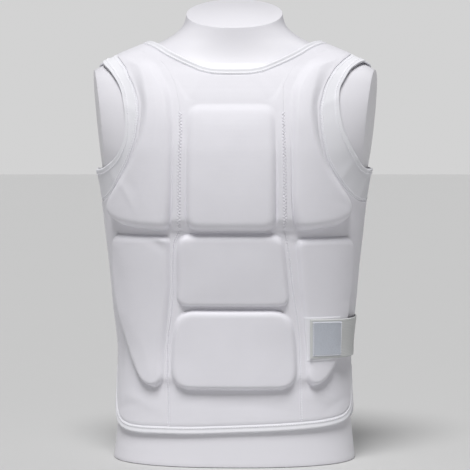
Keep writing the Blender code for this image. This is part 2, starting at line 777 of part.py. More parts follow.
def wall(name, grid, outer, inner, keep_rows, keep_columns, material, lifts=None, ring=False):
    """A closed wall from its outer points and the inner points under those that are kept."""
    rows, columns = outer.shape[:2]
    out = outward(grid)
    outer = trimmed(outer, out, ring)
    inner = trimmed(inner, out[keep_rows][:, keep_columns], ring)
    points = np.concatenate([outer.reshape(-1, 3), inner.reshape(-1, 3)])
    heights = np.zeros(len(points))
    if lifts is not None:
        heights[: rows * columns] = lifts.ravel()
    over = np.arange(rows * columns).reshape(rows, columns)
    under = (rows * columns + np.arange(inner.shape[0] * inner.shape[1])).reshape(inner.shape[:2])
    keep_rows, keep_columns = list(keep_rows), list(keep_columns)
    if ring:
        over, under = np.vstack([over, over[:1]]), np.vstack([under, under[:1]])
        keep_rows.append(rows)
    faces = []
    for corners in quads(over):
        faces += split(corners, points, heights)
    for corners in quads(under):
        faces += [face[::-1] for face in split(corners, points, heights)]
    left = rim(over[:, 0], under[:, 0], keep_rows)
    right = rim(over[:, -1], under[:, -1], keep_rows)
    faces += left + [face[::-1] for face in right]
    if not ring:
        low = rim(over[0], under[0], keep_columns)
        high = rim(over[-1], under[-1], keep_columns)
        faces += [face[::-1] for face in low] + high
    return solid(name, points, faces, material)


def solid(name, points, faces, material):
    """One smooth-shaded object from millimetre points, its faces turned to point out."""
    corners = points[np.array(faces)]
    if np.linalg.det(corners).sum() < 0:
        faces = [face[::-1] for face in faces]
    mesh = bpy.data.meshes.new(name)
    mesh.from_pydata((points * MM).tolist(), [], [tuple(map(int, face)) for face in faces])
    mesh.validate()
    return finished(name, mesh, material)


def finished(name, mesh, material):
    piece = bpy.data.objects.new(name, mesh)
    bpy.context.scene.collection.objects.link(piece)
    mesh.materials.append(material)
    mesh.shade_smooth()
    mesh.set_sharp_from_angle(angle=math.radians(40))
    return piece


def make_material(name):
    colour, roughness = MATERIALS[name]
    material = bpy.data.materials.new(name)
    material.use_nodes = True
    shader = material.node_tree.nodes["Principled BSDF"]
    shader.inputs["Base Color"].default_value = (*colour, 1)
    shader.inputs["Roughness"].default_value = roughness
    shader.inputs["Metallic"].default_value = 0
    return material


def make_form(material):
    """The dress form: level rings, cut off at the neck and at each shoulder."""
    shares = np.linspace(0, len(SECTIONS) - 1, FORM_RINGS)
    heights = np.interp(shares, np.arange(len(SECTIONS)), SECTIONS[:, 0])
    mesh = bmesh.new()
    rings = []
    for height in heights:
        lengths = across_of(np.array([-180.0, 180.0]), np.full(2, min(height, 600)))
        across = np.linspace(*lengths, FORM_SIDES, endpoint=False)
        angle = angle_of(across, np.full(FORM_SIDES, min(height, 600.0)))
        points = body(angle, np.full(FORM_SIDES, height)) * MM
        rings.append([mesh.verts.new(point) for point in points])
    for low, high in zip(rings, rings[1:]):
        for i in range(FORM_SIDES):
            j = (i + 1) % FORM_SIDES
            mesh.faces.new((low[i], low[j], high[j], high[i]))
    mesh.faces.new(rings[0][::-1])
    mesh.faces.new(rings[-1])
    tilt, lean, turn = (
        math.radians(value) for value in (NECK_CUT_TILT, ARM_CUT_LEAN, ARM_CUT_TURN)
    )
    cuts = [((0, 0, NECK_CUT_HEIGHT), (0, -math.sin(tilt), math.cos(tilt)))]
    for sign in (-1, 1):
        facing = (
            sign * math.cos(lean) * math.cos(turn),
            -math.cos(lean) * math.sin(turn),
            -math.sin(lean),
        )
        cuts.append(((sign * ARM_CUT_REACH, 0, ARM_CUT_HEIGHT), facing))
    for place, facing in cuts:
        faces = [f for f in mesh.faces if min(v.co.z for v in f.verts) > ARM_CUT_FOOT * MM]
        near = set(faces)
        for face in faces:
            near.update(face.edges)
            near.update(face.verts)
        spot = [value * MM for value in place]
        cut = bmesh.ops.bisect_plane(
            mesh, geom=list(near), plane_co=spot, plane_no=facing, clear_outer=True
        )
        edges = [item for item in cut["geom_cut"] if isinstance(item, bmesh.types.BMEdge)]
        bmesh.ops.contextual_create(mesh, geom=edges)
    bmesh.ops.recalc_face_normals(mesh, faces=mesh.faces)
    data = bpy.data.meshes.new("dress_form")
    mesh.to_mesh(data)
    mesh.free()
    return finished("dress_form", data, material)


def kept_rows(count):
    """The rows that an inner wall keeps: every other one between vent and armpit."""
    sides = list(range(VENT_ROW, ARMPIT_ROW, 2))
    return list(range(VENT_ROW)) + sides + list(range(ARMPIT_ROW, count))


def make_panel(name, angles, lifts, material):
    rows, columns = kept_rows(angles.shape[0]), list(range(angles.shape[1]))
    outer = cloth(angles, lifts)
    inner = cloth(angles[rows], np.zeros(angles[rows].shape[:2]))
    wall(name, angles, outer, inner, rows, columns, material, lifts)


def back_grid():
    """The back panel's angles and heights, from the right side seam round to the left."""
    right = outer_line("right", front=False)
    left = outer_line("left", front=False)
    left[:, 0] = 360 - left[:, 0]
    mirrored = (BACK_HEM[:-1] * (-1, 1) + (360, 0))[::-1]
    hem = trace(np.vstack([BACK_HEM, mirrored]), BACK_COLUMNS)
    return coons(hem, neck_line(90.0, 270.0, BACK_COLUMNS), right, left)


def make_band(side, material):
    """The stretch band round an armhole, from the panels' edge to the arm's."""
    count = TOP_ROW - ARMPIT_ROW
    sign = -1 if side == "left" else 1
    loops = []
    for front, back in ((ARM_SEAM_FRONT, ARM_SEAM_BACK), (ARM_EDGE_FRONT, ARM_EDGE_BACK)):
        up = trace(loop_part(front, side), count)
        down = trace(loop_part(back, side), count)[::-1]
        loop = np.vstack([up[:-1], down[:-1]])
        loops.append(loop * (sign, 1))
    shares = np.linspace(0, 1, BAND_COLUMNS + 1)[None, :, None]
    grid = loops[0][:, None] * (1 - shares) + loops[1][:, None] * shares
    flat = np.zeros(grid.shape[:2])
    rows, columns = list(range(len(grid))), list(range(BAND_COLUMNS + 1))
    outer, inner = cloth(grid, flat + PLAIN_WALL), cloth(grid, flat)
    wall(f"armhole_band_{side}", grid, outer, inner, rows, columns, material, ring=True)


def make_binding(name, edge, width, roll, material, ring=False):
    """A rolled binding along a panel's edge, moved off to the left of the edge's run."""
    grid = np.stack([shifted(edge, width * share, ring) for share in roll[:, 0]], axis=1)
    outer = cloth(grid, np.tile(roll[:, 1], (len(edge), 1)))
    rows, columns = list(range(len(edge))), [0, 2, 4]
    inner = cloth(grid[:, columns], np.zeros((len(rows), len(columns))))
    wall(name, grid, outer, inner, rows, columns, material, ring=ring)


def hem_widths(length):
    """The hem binding's width at each station, drawn to a tip at both vents."""
    widths = np.full(length, HEM_BINDING_WIDTH)
    widths[: len(VENT_TAPER)] = VENT_TAPER
    widths[length - len(VENT_TAPER):] = VENT_TAPER[::-1]
    return widths


def strap_grid(right, back):
    """The strap's angles and heights, along the columns of the panels that it lies on."""
    levels = np.linspace(*STRAP_LEVELS, 9)
    lines = []
    for mark in (STRAP_END, *PATCH_ACROSS):
        lines.append(np.stack([angle_of(np.full(9, mark), levels), levels], axis=1))
    middle = STRAP_RUN[1, 1]
    marks = [float(np.interp(middle, line[:, 1], line[:, 0])) for line in lines]
    for column in right[:, :-1].swapaxes(0, 1):
        angle = float(np.interp(middle, column[:, 1], column[:, 0]))
        if angle > marks[1] and min(abs(angle - mark) for mark in marks) > STRAP_SPACING:
            lines.append(column)
    lines.sort(key=lambda line: np.interp(middle, line[:, 1], line[:, 0]))
    lines += list(back[:, :-1].swapaxes(0, 1))
    lines.append(back[:, -1] - (STRAP_SHORT, 0))
    grid = np.zeros((len(STRAP_EDGES), len(lines), 2))
    for row, offset in enumerate(STRAP_EDGES):
        for column, line in enumerate(lines):
            angle = np.interp(middle, line[:, 1], line[:, 0])
            for _ in range(3):
                height = float(through(*STRAP_RUN.T, angle)) + offset
                angle = np.interp(height, line[:, 1], line[:, 0])
            grid[row, column] = angle, height
    return grid


def strap_lift(grid):
    across = across_of(np.minimum(grid[..., 0], 180.0), grid[..., 1])
    return np.interp(across, STRAP_LIFT[:, 0], STRAP_LIFT[:, 1])


def make_strap(right, back, materials):
    """The elastic strap, and the patch of loop pile that lies on its end."""
    grid = strap_grid(right, back)
    lift = strap_lift(grid)
    columns = list(range(grid.shape[1]))
    inner = cloth(grid[STRAP_KEPT], lift[STRAP_KEPT])
    outer = cloth(grid, lift + STRAP_WALL)
    wall("waist_strap", grid, outer, inner, STRAP_KEPT, columns, materials["elastic"])
    across = across_of(grid[0, :, 0].clip(max=180), grid[0, :, 1])
    first, last = (int(np.abs(across - mark).argmin()) for mark in PATCH_ACROSS)
    patch = grid[1:-1, first:last + 1]
    lift = lift[1:-1, first:last + 1] + STRAP_WALL + SEAM_GAP
    rows, columns = (list(range(size)) for size in patch.shape[:2])
    outer, inner = cloth(patch, lift + PATCH_WALL), cloth(patch, lift)
    wall("strap_loop_patch", patch, outer, inner, rows, columns, materials["loop_pile"])


def make_tab(right, lifts, material):
    """The tab under the strap's end, made from the pad's own points, moved out."""
    first, last = TAB_COLUMNS
    grid, under, over = [], [], []
    for column in range(first, last + 1):
        line = right[:, column]
        face = cloth(line, lifts[:, column])
        parts = [line, face, outward(line)]
        spots, pad, away = (
            np.stack([np.interp(TAB_HEIGHTS, line[:, 1], values) for values in part.T], axis=1)
            for part in parts
        )
        grid.append(spots)
        under.append(pad + away * SEAM_GAP)
        over.append(pad + away * (SEAM_GAP + TAB_WALL))
    grid, under, over = (np.stack(part, axis=1) for part in (grid, under, over))
    rows, columns = (list(range(size)) for size in under.shape[:2])
    wall("strap_landing_tab", grid, over, under, rows, columns, material)


def main():
    for existing in list(bpy.data.objects):
        bpy.data.objects.remove(existing, do_unlink=True)
    materials = {name: make_material(name) for name in MATERIALS}
    make_form(materials["form"])
    middle = middle_grid()
    centre = to_angles(middle)
    lifts = FRONT_WALL + relief(middle_pads(), middle[..., 0], middle[..., 1], 1)
    make_panel("front_centre_panel", centre, lifts, materials["padded_cloth"])
    sides = {}
    for side, sign, column in (("left", -1, 0), ("right", 1, -1)):
        grid = side_grid(side, middle[: TOP_ROW + 1, column] * (sign, 1))
        lifts = FRONT_WALL + relief(side_pads(side), grid[..., 0], grid[..., 1], 2)
        sides[side] = to_angles(grid, sign)
        make_panel(f"front_{side}_panel", sides[side], lifts, materials["padded_cloth"])
        make_band(side, materials["plain_cloth"])
    back = back_grid()
    make_panel("back_panel", back, np.full(back.shape[:2], PLAIN_WALL), materials["plain_cloth"])
    left, right = sides["left"], sides["right"]
    make_tab(right, lifts, materials["plain_cloth"])
    make_strap(right, back, materials)

    neck = np.vstack([centre[-1], back[-1, 1:-1]])
    make_binding(
        "neck_binding", neck, NECK_BINDING_WIDTH, NECK_ROLL, materials["binding"], ring=True
    )
    front_hem = np.vstack([
        left[VENT_ROW:0:-1, -1],
        left[0, ::-1],
        centre[0, 1:-1],
        right[0],
        right[1:VENT_ROW + 1, -1],
    ])
    back_hem = np.vstack([
        back[VENT_ROW:0:-1, 0],
        back[0],
        back[1:VENT_ROW + 1, -1],
    ])
    for name, hem in (("front_hem_binding", front_hem), ("back_hem_binding", back_hem)):
        hem[0] += (hem[1] - hem[0]) * VENT_TIP
        hem[-1] += (hem[-2] - hem[-1]) * VENT_TIP
        make_binding(name, hem, -hem_widths(len(hem)), HEM_ROLL, materials["binding"])


main()
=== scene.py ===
"""Dresses a karate chest protector and its limbless dress form for the picture.

Run as a script in Blender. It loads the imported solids, replaces each with a finer piece made
from the same tables, adds the thread of its seams, and sets up the materials, the floor, the
lights and the camera. The piece names "left" and "right" are the viewer's: "right" is +X.
"""

import math

import bpy
import numpy as np
from bpy.props import FloatProperty, FloatVectorProperty, PointerProperty
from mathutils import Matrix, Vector


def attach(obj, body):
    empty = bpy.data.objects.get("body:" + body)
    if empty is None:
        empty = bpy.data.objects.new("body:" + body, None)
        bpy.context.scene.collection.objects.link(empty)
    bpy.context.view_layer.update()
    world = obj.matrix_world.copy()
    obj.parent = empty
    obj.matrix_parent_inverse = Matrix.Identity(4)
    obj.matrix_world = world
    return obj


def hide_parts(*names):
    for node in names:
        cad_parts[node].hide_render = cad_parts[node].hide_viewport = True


bl_info = {
    "name": "Karate chest protector",
    "version": (1, 0, 0),
    "blender": (4, 5, 0),
    "location": "3D View > Sidebar > Vest",
    "description": "Fine pieces, materials and stage for a padded vest on a dress form",
    "category": "Object",
}

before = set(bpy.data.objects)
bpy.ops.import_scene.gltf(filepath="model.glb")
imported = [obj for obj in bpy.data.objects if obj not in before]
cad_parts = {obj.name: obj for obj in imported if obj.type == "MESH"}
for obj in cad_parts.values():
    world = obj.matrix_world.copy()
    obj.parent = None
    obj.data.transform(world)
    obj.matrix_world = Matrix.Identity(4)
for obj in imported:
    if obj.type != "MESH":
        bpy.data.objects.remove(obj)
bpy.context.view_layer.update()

MM = 0.001

# Each side's direction across, and its columns in the tables of both sides and of the side pads
SIGN = {"left": -1, "centre": 1, "right": 1}
COLUMN = {"left": 1, "right": 2}
PAD_COLUMN = {"left": (1, 2), "right": (3, 4)}

# The figure's level sections: height, half width, front depth, back depth, squareness
FIGURE = np.array([
    (0, 163, 104, 112, 2.35),
    (45, 158, 103, 107, 2.3),
    (95, 154, 101, 97, 2.25),
    (150, 152.5, 99, 90, 2.2),
    (205, 158.5, 101, 90, 2.2),
    (250, 162.5, 106, 95, 2.2),
    (300, 168, 112, 102, 2.2),
    (350, 174, 117, 108, 2.2),
    (390, 182, 118.5, 111, 2.25),
    (420, 195, 117, 112, 2.25),
    (453, 205, 112, 111, 2.25),
    (480, 208, 103, 106, 2.25),
    (505, 203, 90, 97, 2.2),
    (519, 190, 81, 90, 2.1),
    (530, 167, 76, 84, 2.05),
    (546, 129, 71, 77, 2.0),
    (562, 90, 68.2, 70, 2.0),
    (579, 69.5, 66.7, 66, 2.0),
    (603, 63.5, 65.7, 63, 2.0),
    (640, 62.5, 65.2, 62, 2.0),
])
# The flat cuts of its neck and arms, and the height below which an arm's cut takes nothing
NECK_CUT_HEIGHT, NECK_CUT_TILT = 597.0, 20.5
ARM_CUT_REACH, ARM_CUT_HEIGHT, ARM_CUT_TURN, ARM_CUT_LEAN = 183.5, 453.0, 8.3, 5.2
ARM_CUT_FOOT = 200.0

# Walls, and the gap from form to cloth: everywhere, at the sides, at the neck, behind the waist
FRONT_WALL, PLAIN_WALL, STRAP_WALL = 3.0, 2.0, 1.6
TAB_WALL, PATCH_WALL = 0.8, 0.8
SEAM_GAP = 0.3
EASE, SIDE_EASE = 1.1, 1.4
NECK_EASE, NECK_EASE_FROM, NECK_EASE_FULL = 1.2, 490.0, 535.0
HOLLOW_EASE, HOLLOW_HEIGHT, HOLLOW_REACH = 4.5, 195.0, 95.0

# The neck's edge: angle, height
NECKLINE = np.array([
    (0, 507.3), (22, 509.6), (43, 523.5), (53, 532.0), (61, 539.5), (70, 545.0), (90, 549.0),
    (110, 547.5), (135, 545.0), (180, 543.5),
])
SHOULDER_TIP = 536.5

# The two stitched seams of the front: height, left across, right across
SEAMS = np.array([
    (50, 82.8, 89.3), (80, 83.5, 89.0), (112, 84.0, 87.5), (158, 82.8, 86.0), (188, 79.0, 83.2),
    (231, 74.8, 76.8), (285, 75.0, 70.8), (297, 73.0, 69.2), (309, 67.5, 66.4),
    (330, 66.0, 65.6), (387, 65.8, 65.8), (462, 66.9, 65.2), (481, 69.9, 65.4),
])
# The same seams on up to the shoulder's ridge: height, left angle, right angle
SEAM_TOPS = np.array([
    (481, 35.3, 32.9), (498, 40.0, 36.7), (515, 47.8, 45.1), (526.5, 55.0, 53.0),
    (533, 62.3, 60.8), (538.5, 71.0, 70.0), (542.6, 80.5, 80.0), (545, 90.0, 90.0),
])

# Armhole seams and arm edges, in front and behind: height, left angle, right angle
ARM_SEAM_FRONT = np.array([
    (343.5, 92, 84), (345, 83, 77), (350, 74, 69), (359, 68.6, 64), (378, 62.3, 57),
    (398, 56.7, 51.8), (422, 53, 49.3), (444, 51.4, 48.6), (463, 52.2, 49.3), (480, 54.6, 51.9),
    (501, 60.5, 57.6), (520, 68.8, 67), (532, 80, 78.5), (SHOULDER_TIP, 90, 90),
])
ARM_SEAM_BACK = np.array([
    (343.5, 92, 84), (346, 99, 93), (351, 105, 102), (360, 110.5, 109), (374, 115, 114.5),
    (392, 119, 119), (414, 121.5, 121.5), (438, 122.5, 122.5), (461, 122, 122),
    (483, 119.5, 119.5), (503, 114.5, 114.5), (521, 106.5, 106.5), (532, 98, 98),
    (SHOULDER_TIP, 90, 90),
])
ARM_EDGE_FRONT = np.array([
    (389.5, 91, 87), (388.5, 83, 81.5), (389, 75.5, 76), (394.5, 68.5, 70.5), (404, 63, 66.5),
    (417, 59.3, 62.5), (432, 57.4, 59.6), (447, 57.2, 57.9), (464, 58.4, 57.8),
    (486, 61.8, 59.8), (504, 67.4, 65), (517, 74.8, 71.5), (524.5, 82.5, 79.5), (527.5, 90, 90),
])
ARM_EDGE_BACK = np.array([
    (389.5, 91, 87), (389.5, 97, 94), (393, 103.5, 102), (401, 108.5, 108), (414, 112.5, 112.5),
    (431, 115.5, 115.5), (450, 116.3, 116.3), (470, 115.2, 115.2), (489, 111.8, 111.8),
    (505, 106.3, 106.3), (518, 99, 99), (527.5, 90, 90),
])
SIDE_SEAM = {"left": (90.0, 92.0), "right": (87.0, 84.0)}
VENT_TOP, ARMPIT, ARMPIT_STEP = 126.0, 343.5, 5.5

# Where the front meets its hem binding, from corner to corner: across, height
FRONT_HEM = np.array([
    (-170, 60.5), (-155, 53), (-131, 50.5), (-105, 51.3), (-60, 52.5), (0, 55), (45, 56.5),
    (90, 58), (132, 60), (156, 63.5), (172, 71),
])
# The front's edge beside each vent, up from the hem's corner: across, height
FRONT_VENT = {
    "left": np.array([(170, 60.5), (181, 74), (186.5, 90), (188.5, 105), (191, 114)]),
    "right": np.array([(172, 71), (182, 83), (186.5, 97), (188, 108), (190, 115)]),
}
# The back's hem and vents in the same way: angle, height
BACK_VENT = np.array([(101.5, 58), (98, 66), (95.8, 78), (94.8, 92), (94, 105), (92, 115)])
BACK_HEM = np.array([(101.5, 58), (107, 52.5), (120, 49), (150, 48), (180, 48)])

# The middle pads' edges: height, left across, right across
MIDDLE_EDGES = np.array([
    (40, -80.0, 84.5), (101, -80.5, 84.5), (150, -79.5, 83.5), (192, -75.0, 78.5),
    (206.8, -73.0, 75.5), (209.8, -71.8, 73.8), (240, -72.0, 72.0), (290, -71.5, 67.0),
    (305.3, -69.0, 64.0), (307.5, -60.0, 57.5), (471, -60.0, 57.5), (520, -61.0, 58.0),
])
# The side pads' edges: height, left inner, left outer, right inner, right outer
SIDE_EDGES = np.array([
    (45, 88, 122, 95, 118), (104, 87.5, 118, 94.5, 114), (111, 87.3, 125, 94, 127),
    (130, 86.5, 136, 93, 141.5), (164, 85, 149.4, 91, 151), (195, 81.5, 162.8, 88, 161),
    (228, 78, 171, 84, 168.3), (262, 77.8, 173.5, 82, 171.5), (301, 77.5, 170.5, 79, 168),
    (334, 73.6, 178.5, 72.8, 164.5), (344, 73.2, 180, 72.3, 164.5),
    (359, 73.0, 165.5, 72.2, 151), (378, 72.9, 149.5, 72.2, 135), (398, 72.8, 134, 72.2, 119.5),
    (422, 72.8, 124, 72.2, 113.2), (444, 73.0, 118.3, 72.2, 109),
    (463, 73.6, 117.8, 72.3, 108.5), (481, 76.8, 119.8, 73.0, 111),
    (501, 85.0, 128, 79.5, 119.5), (517, 95.0, 139, 88.5, 131.5), (531, 106.0, 157, 100.5, 151),
])
# A side chest pad's lower edge: share of its width, rise above its inner corner
CHEST_RISE = np.array([(0, 0), (0.3, 2), (0.55, 4.5), (0.78, 10), (0.93, 18), (1, 27)])
# A side belly pad's lower edge in the same way
BELLY_RISE = np.array([(0, 5), (0.65, 0), (1, 3)])
BELLY_FOOT, BELLY_SPLIT, BELLY_SPLIT_TOP, BELLY_HEAD = 101.0, 206.8, 209.8, 305.3
SIDE_HEAD = {"left": 303.3, "right": 300.5}
CHEST_FOOT, CHEST_HEAD = 307.5, 471.0
SHOULDER_END = 531.0

# How the pads stand out: height, middle pads, side pads, bevel's width, its softness
PAD_RELIEF = np.array([
    (40, 8.5, 8.5, 11.0, 0), (305.8, 8.5, 8.5, 11.0, 0), (307, 15.0, 15.5, 15.5, 0),
    (355, 13.0, 13.0, 14.5, 0), (410, 9.5, 9.5, 13.0, 0), (440, 6.4, 7.5, 13.0, 0.35),
    (471, 2.2, 5.0, 16.0, 1), (490, 2.4, 4.2, 15.0, 0.8), (505, 1.6, 3.2, 20.0, 1),
    (545, 0.5, 0.4, 26.0, 1),
])
CORNERS = {"low": 27.0, "belly": 15.0, "chest": 21.0, "side": 15.0}
OUTLINE_STEP = 3.0

# Grid rows between the front's key heights, with the bevel that crowds some of them
BELLY_BEVEL, CHEST_BEVEL = 11.0, 15.0
ROW_BLOCKS = ((3, 0), (6, BELLY_BEVEL), (1, 0), (6, BELLY_BEVEL), (1, 0), (9, CHEST_BEVEL))
VENT_ROW, ARMPIT_ROW, HEAD_ROW, TOP_ROW = 5, 18, 26, 34
MIDDLE_COLUMNS, PAD_COLUMNS, FLANK_COLUMNS = 18, 10, 3
BACK_COLUMNS, BAND_COLUMNS, SHOULDER_ROWS = 20, 3, 3
BEVEL_LIMIT, NEAR_EDGE, ARM_FAN = 0.4, 0.25, 1.5
# The key rows of a side panel that follow the hem and its pads' lower and upper edges
HEM_KEY, BELLY_FOOT_KEY, BELLY_HEAD_KEY, CHEST_FOOT_KEY = 0, 1, 4, 5
# How finely lines are followed, and the rounds in which a grid agrees with its own heights
SECTION_COUNT, TRACE_POINTS, NECK_POINTS = 1200, 400, 60
MIDDLE_PAD_POINTS, SIDE_PAD_POINTS, PAD_FOOT_POINTS, STRAP_POINTS = 6, 14, 9, 9
MIDDLE_ROUNDS, SIDE_ROUNDS, STRAP_ROUNDS, SHIFT_ROUNDS, SETTLING_ROUNDS = 3, 4, 3, 4, 300
# Lengths round the figure are tabled at whole degrees and these heights
GIRTH_TOP, GIRTH_STEP = 604.0, 4.0
# Just short of half a turn, of a whole one, and of the last height
BEHIND, FORM_BEHIND, LAST_DEGREE, LAST_LEVEL = 179.99, 179.999, 359.999, 1.001

# Bindings: their widths, their rise at shares of the width, and their tips in the vents
NECK_BINDING_WIDTH, HEM_BINDING_WIDTH = 9.5, 10.0
NECK_ROLL = np.array([(0, 2.5), (0.18, 3.3), (0.42, 3.1), (0.78, 4.0), (1, 2.9)])
HEM_ROLL = np.array([(0, 2.7), (0.2, 3.1), (0.45, 3.0), (0.8, 3.5), (1, 3.1)])
VENT_TAPER, VENT_TIP = (0.8, 5.5, 9.0), 0.25

# The strap's middle, round the wearer's left side and the back: angle, height
STRAP_RUN = np.array([(45, 167.8), (75, 166.0), (90, 165.5), (180, 159), (272, 154)])
STRAP_EDGES = (-26.5, -23.5, -8.0, 8.0, 23.5, 26.5)
STRAP_END, STRAP_SHORT, STRAP_SPACING = 96.5, 1.5, 1.2
STRAP_LEVELS = (110.0, 220.0)
# How far out of the form's ease the strap's inner face runs: across, height
STRAP_LIFT = np.array([
    (90, 13.3), (146, 13.0), (155, 12.0), (165, 9.8), (178, 6.6), (190, 4.6), (204, 3.5),
    (222, 2.8), (245, 2.4), (460, 2.4),
])
PATCH_ACROSS = (99.5, 140.0)
TAB_HEIGHTS = (137.5, 150, 166, 182, 196.5)
TAB_COLUMNS = (2, 8)

# Soft creases of the cloth: across, height, half length, half width, turn in degrees, height out
FRONT_CREASES = {
    "centre": np.array([
        (-50, 488, 30, 6, 62, 0.5),
        (46, 487, 26, 6, -58, 0.4),
        (-38, 92, 44, 8, 8, -0.6),
        (22, 84, 52, 9, -5, -0.5),
        (60, 96, 20, 6, 35, 0.5),
        (-66, 304, 9, 3, 40, 0.8),
        (62, 303, 8, 3, -38, 0.7),
        (-20, 395, 60, 18, 76, 0.4),
        (24, 262, 40, 15, 12, 0.4),
        (-28, 158, 44, 16, -14, 0.4),
    ]),
    "left": np.array([
        (84, 297, 13, 3.4, 18, 2.0),
        (92, 290, 20, 5, 34, -1.0),
        (136, 362, 26, 3.2, 52, 0.7),
        (128, 372, 24, 5, 54, -0.4),
        (118, 420, 44, 14, 80, 0.5),
        (110, 478, 40, 12, 66, 0.5),
        (150, 240, 50, 10, 74, -0.5),
        (124, 170, 40, 10, 60, 0.4),
        (166, 150, 34, 7, 82, -0.8),
        (128, 84, 36, 8, 12, 0.7),
        (152, 74, 26, 6, -20, -0.6),
    ]),
    "right": np.array([
        (78, 298, 10, 3.2, -16, 1.4),
        (150, 340, 26, 6, -30, -0.5),
        (104, 430, 46, 13, -78, 0.5),
        (100, 480, 36, 11, -64, 0.4),
        (158, 262, 40, 8, -80, -0.7),
        (166, 216, 22, 6, -8, -0.7),
        (120, 236, 46, 12, -62, 0.4),
        (160, 118, 30, 7, -70, -0.8),
        (118, 90, 32, 8, -10, 0.6),
        (146, 80, 26, 6, 18, -0.6),
    ]),
}
# The back's in the same way, but across from its own middle
BACK_CREASES = np.array([
    (-130, 330, 60, 8, 28, 1.4),
    (-112, 300, 52, 7, 20, -1.1),
    (124, 322, 56, 8, -24, 1.3),
    (104, 286, 46, 7, -16, -1.0),
    (-62, 210, 66, 9, 10, 1.2),
    (58, 196, 60, 8, -13, 1.1),
    (6, 232, 72, 10, 3, -1.2),
    (-34, 168, 54, 8, -9, -1.0),
    (-6, 470, 16, 60, 0, 0.8),
    (-70, 455, 44, 8, 62, 1.0),
    (74, 448, 42, 8, -58, 0.9),
    (-96, 104, 40, 7, 14, 0.9),
    (88, 96, 44, 7, -10, -0.9),
    (20, 86, 52, 8, 4, 0.7),
])
BAND_CREASES = ((0.05, 1.1), (0.13, 0.7), (0.29, 0.5), (0.62, 0.6), (0.81, 0.9), (0.94, 1.2))
CREASE_SPAN, CREASE_BOW = 0.012, 8.0

# A pad's face swells a little, and the cloth dips beside its foot
PAD_CROWN, PAD_CROWN_REACH = 1.3, 42.0
FOOT_DIP, FOOT_DIP_REACH, FOOT_DIP_FULL = 0.3, 3.0, 8.0

# How many finer cells a cell of each piece's plain grid is cut into, down and along
CUTS = {
    "front": (6, 6),
    "back": (6, 8),
    "band": (8, 8),
    "tape": (6, 6),
    "strap": (7, 5),
    "patch": (10, 10),
    "tab": (8, 6),
}
# How the cloth turns down to a seam: the flat front seams, which fade as they rise, and the rest
FLAT_SEAM, SEAM_ROUND, SEAM_DROP, SEWN_GAP = 3.0, 3.0, 0.8, 0.08
FLAT_DROP = np.array([(450, 0.6), (480, 0.05)])
# A pad's edge: how full its round is, how steep its foot, and how much narrower where it is soft
PAD_ROLL, PAD_FOOT, PAD_TIGHT = 2.7, 0.8, 0.3
# The belly pads' lower edges are tighter, by a share that is all gone at the upper height
LOW_TIGHT, LOW_REACH, LOW_HEIGHTS = 0.5, 24.0, (285.0, 304.0)
# The pads press the front seams out between them: height, share of the pads' own rise
BRIDGE = np.array([
    (98, 0), (116, 0.42), (280, 0.42), (300, 0.25), (308, 0.2), (324, 0.68), (420, 0.68),
    (470, 0.35), (510, 0),
])
BRIDGE_FLAT, BRIDGE_REACH, BRIDGE_BLEND, BRIDGE_ONSET = 8.0, 26.0, 1.1, 3.0
# The form's mesh, and the angles past which an edge stays sharp
FORM_FINE_RINGS, FORM_FINE_SIDES, FORM_BEVEL, FORM_BEVEL_CUTS = 150, 168, 1.2, 2
SHARP, FORM_SHARP, CAP_CORNERS = 55.0, 40.0, 8

# Threads, in millimetres: a stitch is a short tube that sinks into the cloth at both ends
THREAD = 0.45
ZIGZAG_THREAD, ZIGZAG_HALF, ZIGZAG_PITCH, ZIGZAG_LIFT = 0.68, 2.0, 2.12, 0.15
ZIGZAG_FOOT, ZIGZAG_HEAD, ZIGZAG_LEG = 311.0, 462.0, (0, 0.14, 0.5, 0.86)
LOCK_HALF = 1.3
STITCH, STITCH_SPACE = 2.3, 1.1
STITCH_AT, STITCH_RISE = (0, 0.25, 0.75, 1), (-0.6, 0.45, 0.45, -0.6)
STITCH_WIDTH = (0.5, 1, 1, 0.5)
THREAD_SIDES = 5

# The camera that the photograph was matched with, and its aim: metres, degrees and pixels
CAMERA_DISTANCE, CAMERA_TURN, CAMERA_DIP, CAMERA_AIM = 2.4, 1.5, 2.5, (0.0, 0.0, 0.298)
CAMERA_FOCAL_PIXELS, PHOTO_PIXELS, SENSOR = 1777.8, 470.0, 36.0
CAMERA_SHIFT = 0.5

# The bands' turned hem and folds, the tapes' round edges and pucker, the strap's edges, the pile
BAND_HEM, BAND_HEM_RISE, BAND_HEM_STEP = 8.5, 0.45, 1.2
BAND_FOLD_FADE, BAND_EDGE_ROUND = 6.0, 1.3
BAND_STITCHING = (1.5, 4.6)
TAPE_ROUND, TAPE_ROUND_SHARE, TAPE_DROPS = 1.9, 0.4, (0.35, 1.8)
TAPE_FLAT, TAPE_STITCHING = 13.0, 2.3
PUCKER, PUCKER_PITCH = 0.12, 11.0
SELVEDGE, SELVEDGE_DROP, PILE, PILE_SEED = 1.4, 0.8, 0.10, 7
# The knit's courses to a wale and how its wales waver, and the elastic's cords and picks
COURSES_PER_WALE, WALE_WAVER, CORD_PITCH, PICK_PITCH = 0.75, 0.9, 2.1, 1.3
# The tape's wales as a share of the cloth's
TAPE_WEAVE = 0.8
# The back's flat size, its cut area as a share of the worn one, and the bands' cut length
BACK_FLAT, BACK_CUT, BAND_STRETCH = (0.48, 0.53), 0.98, 0.94

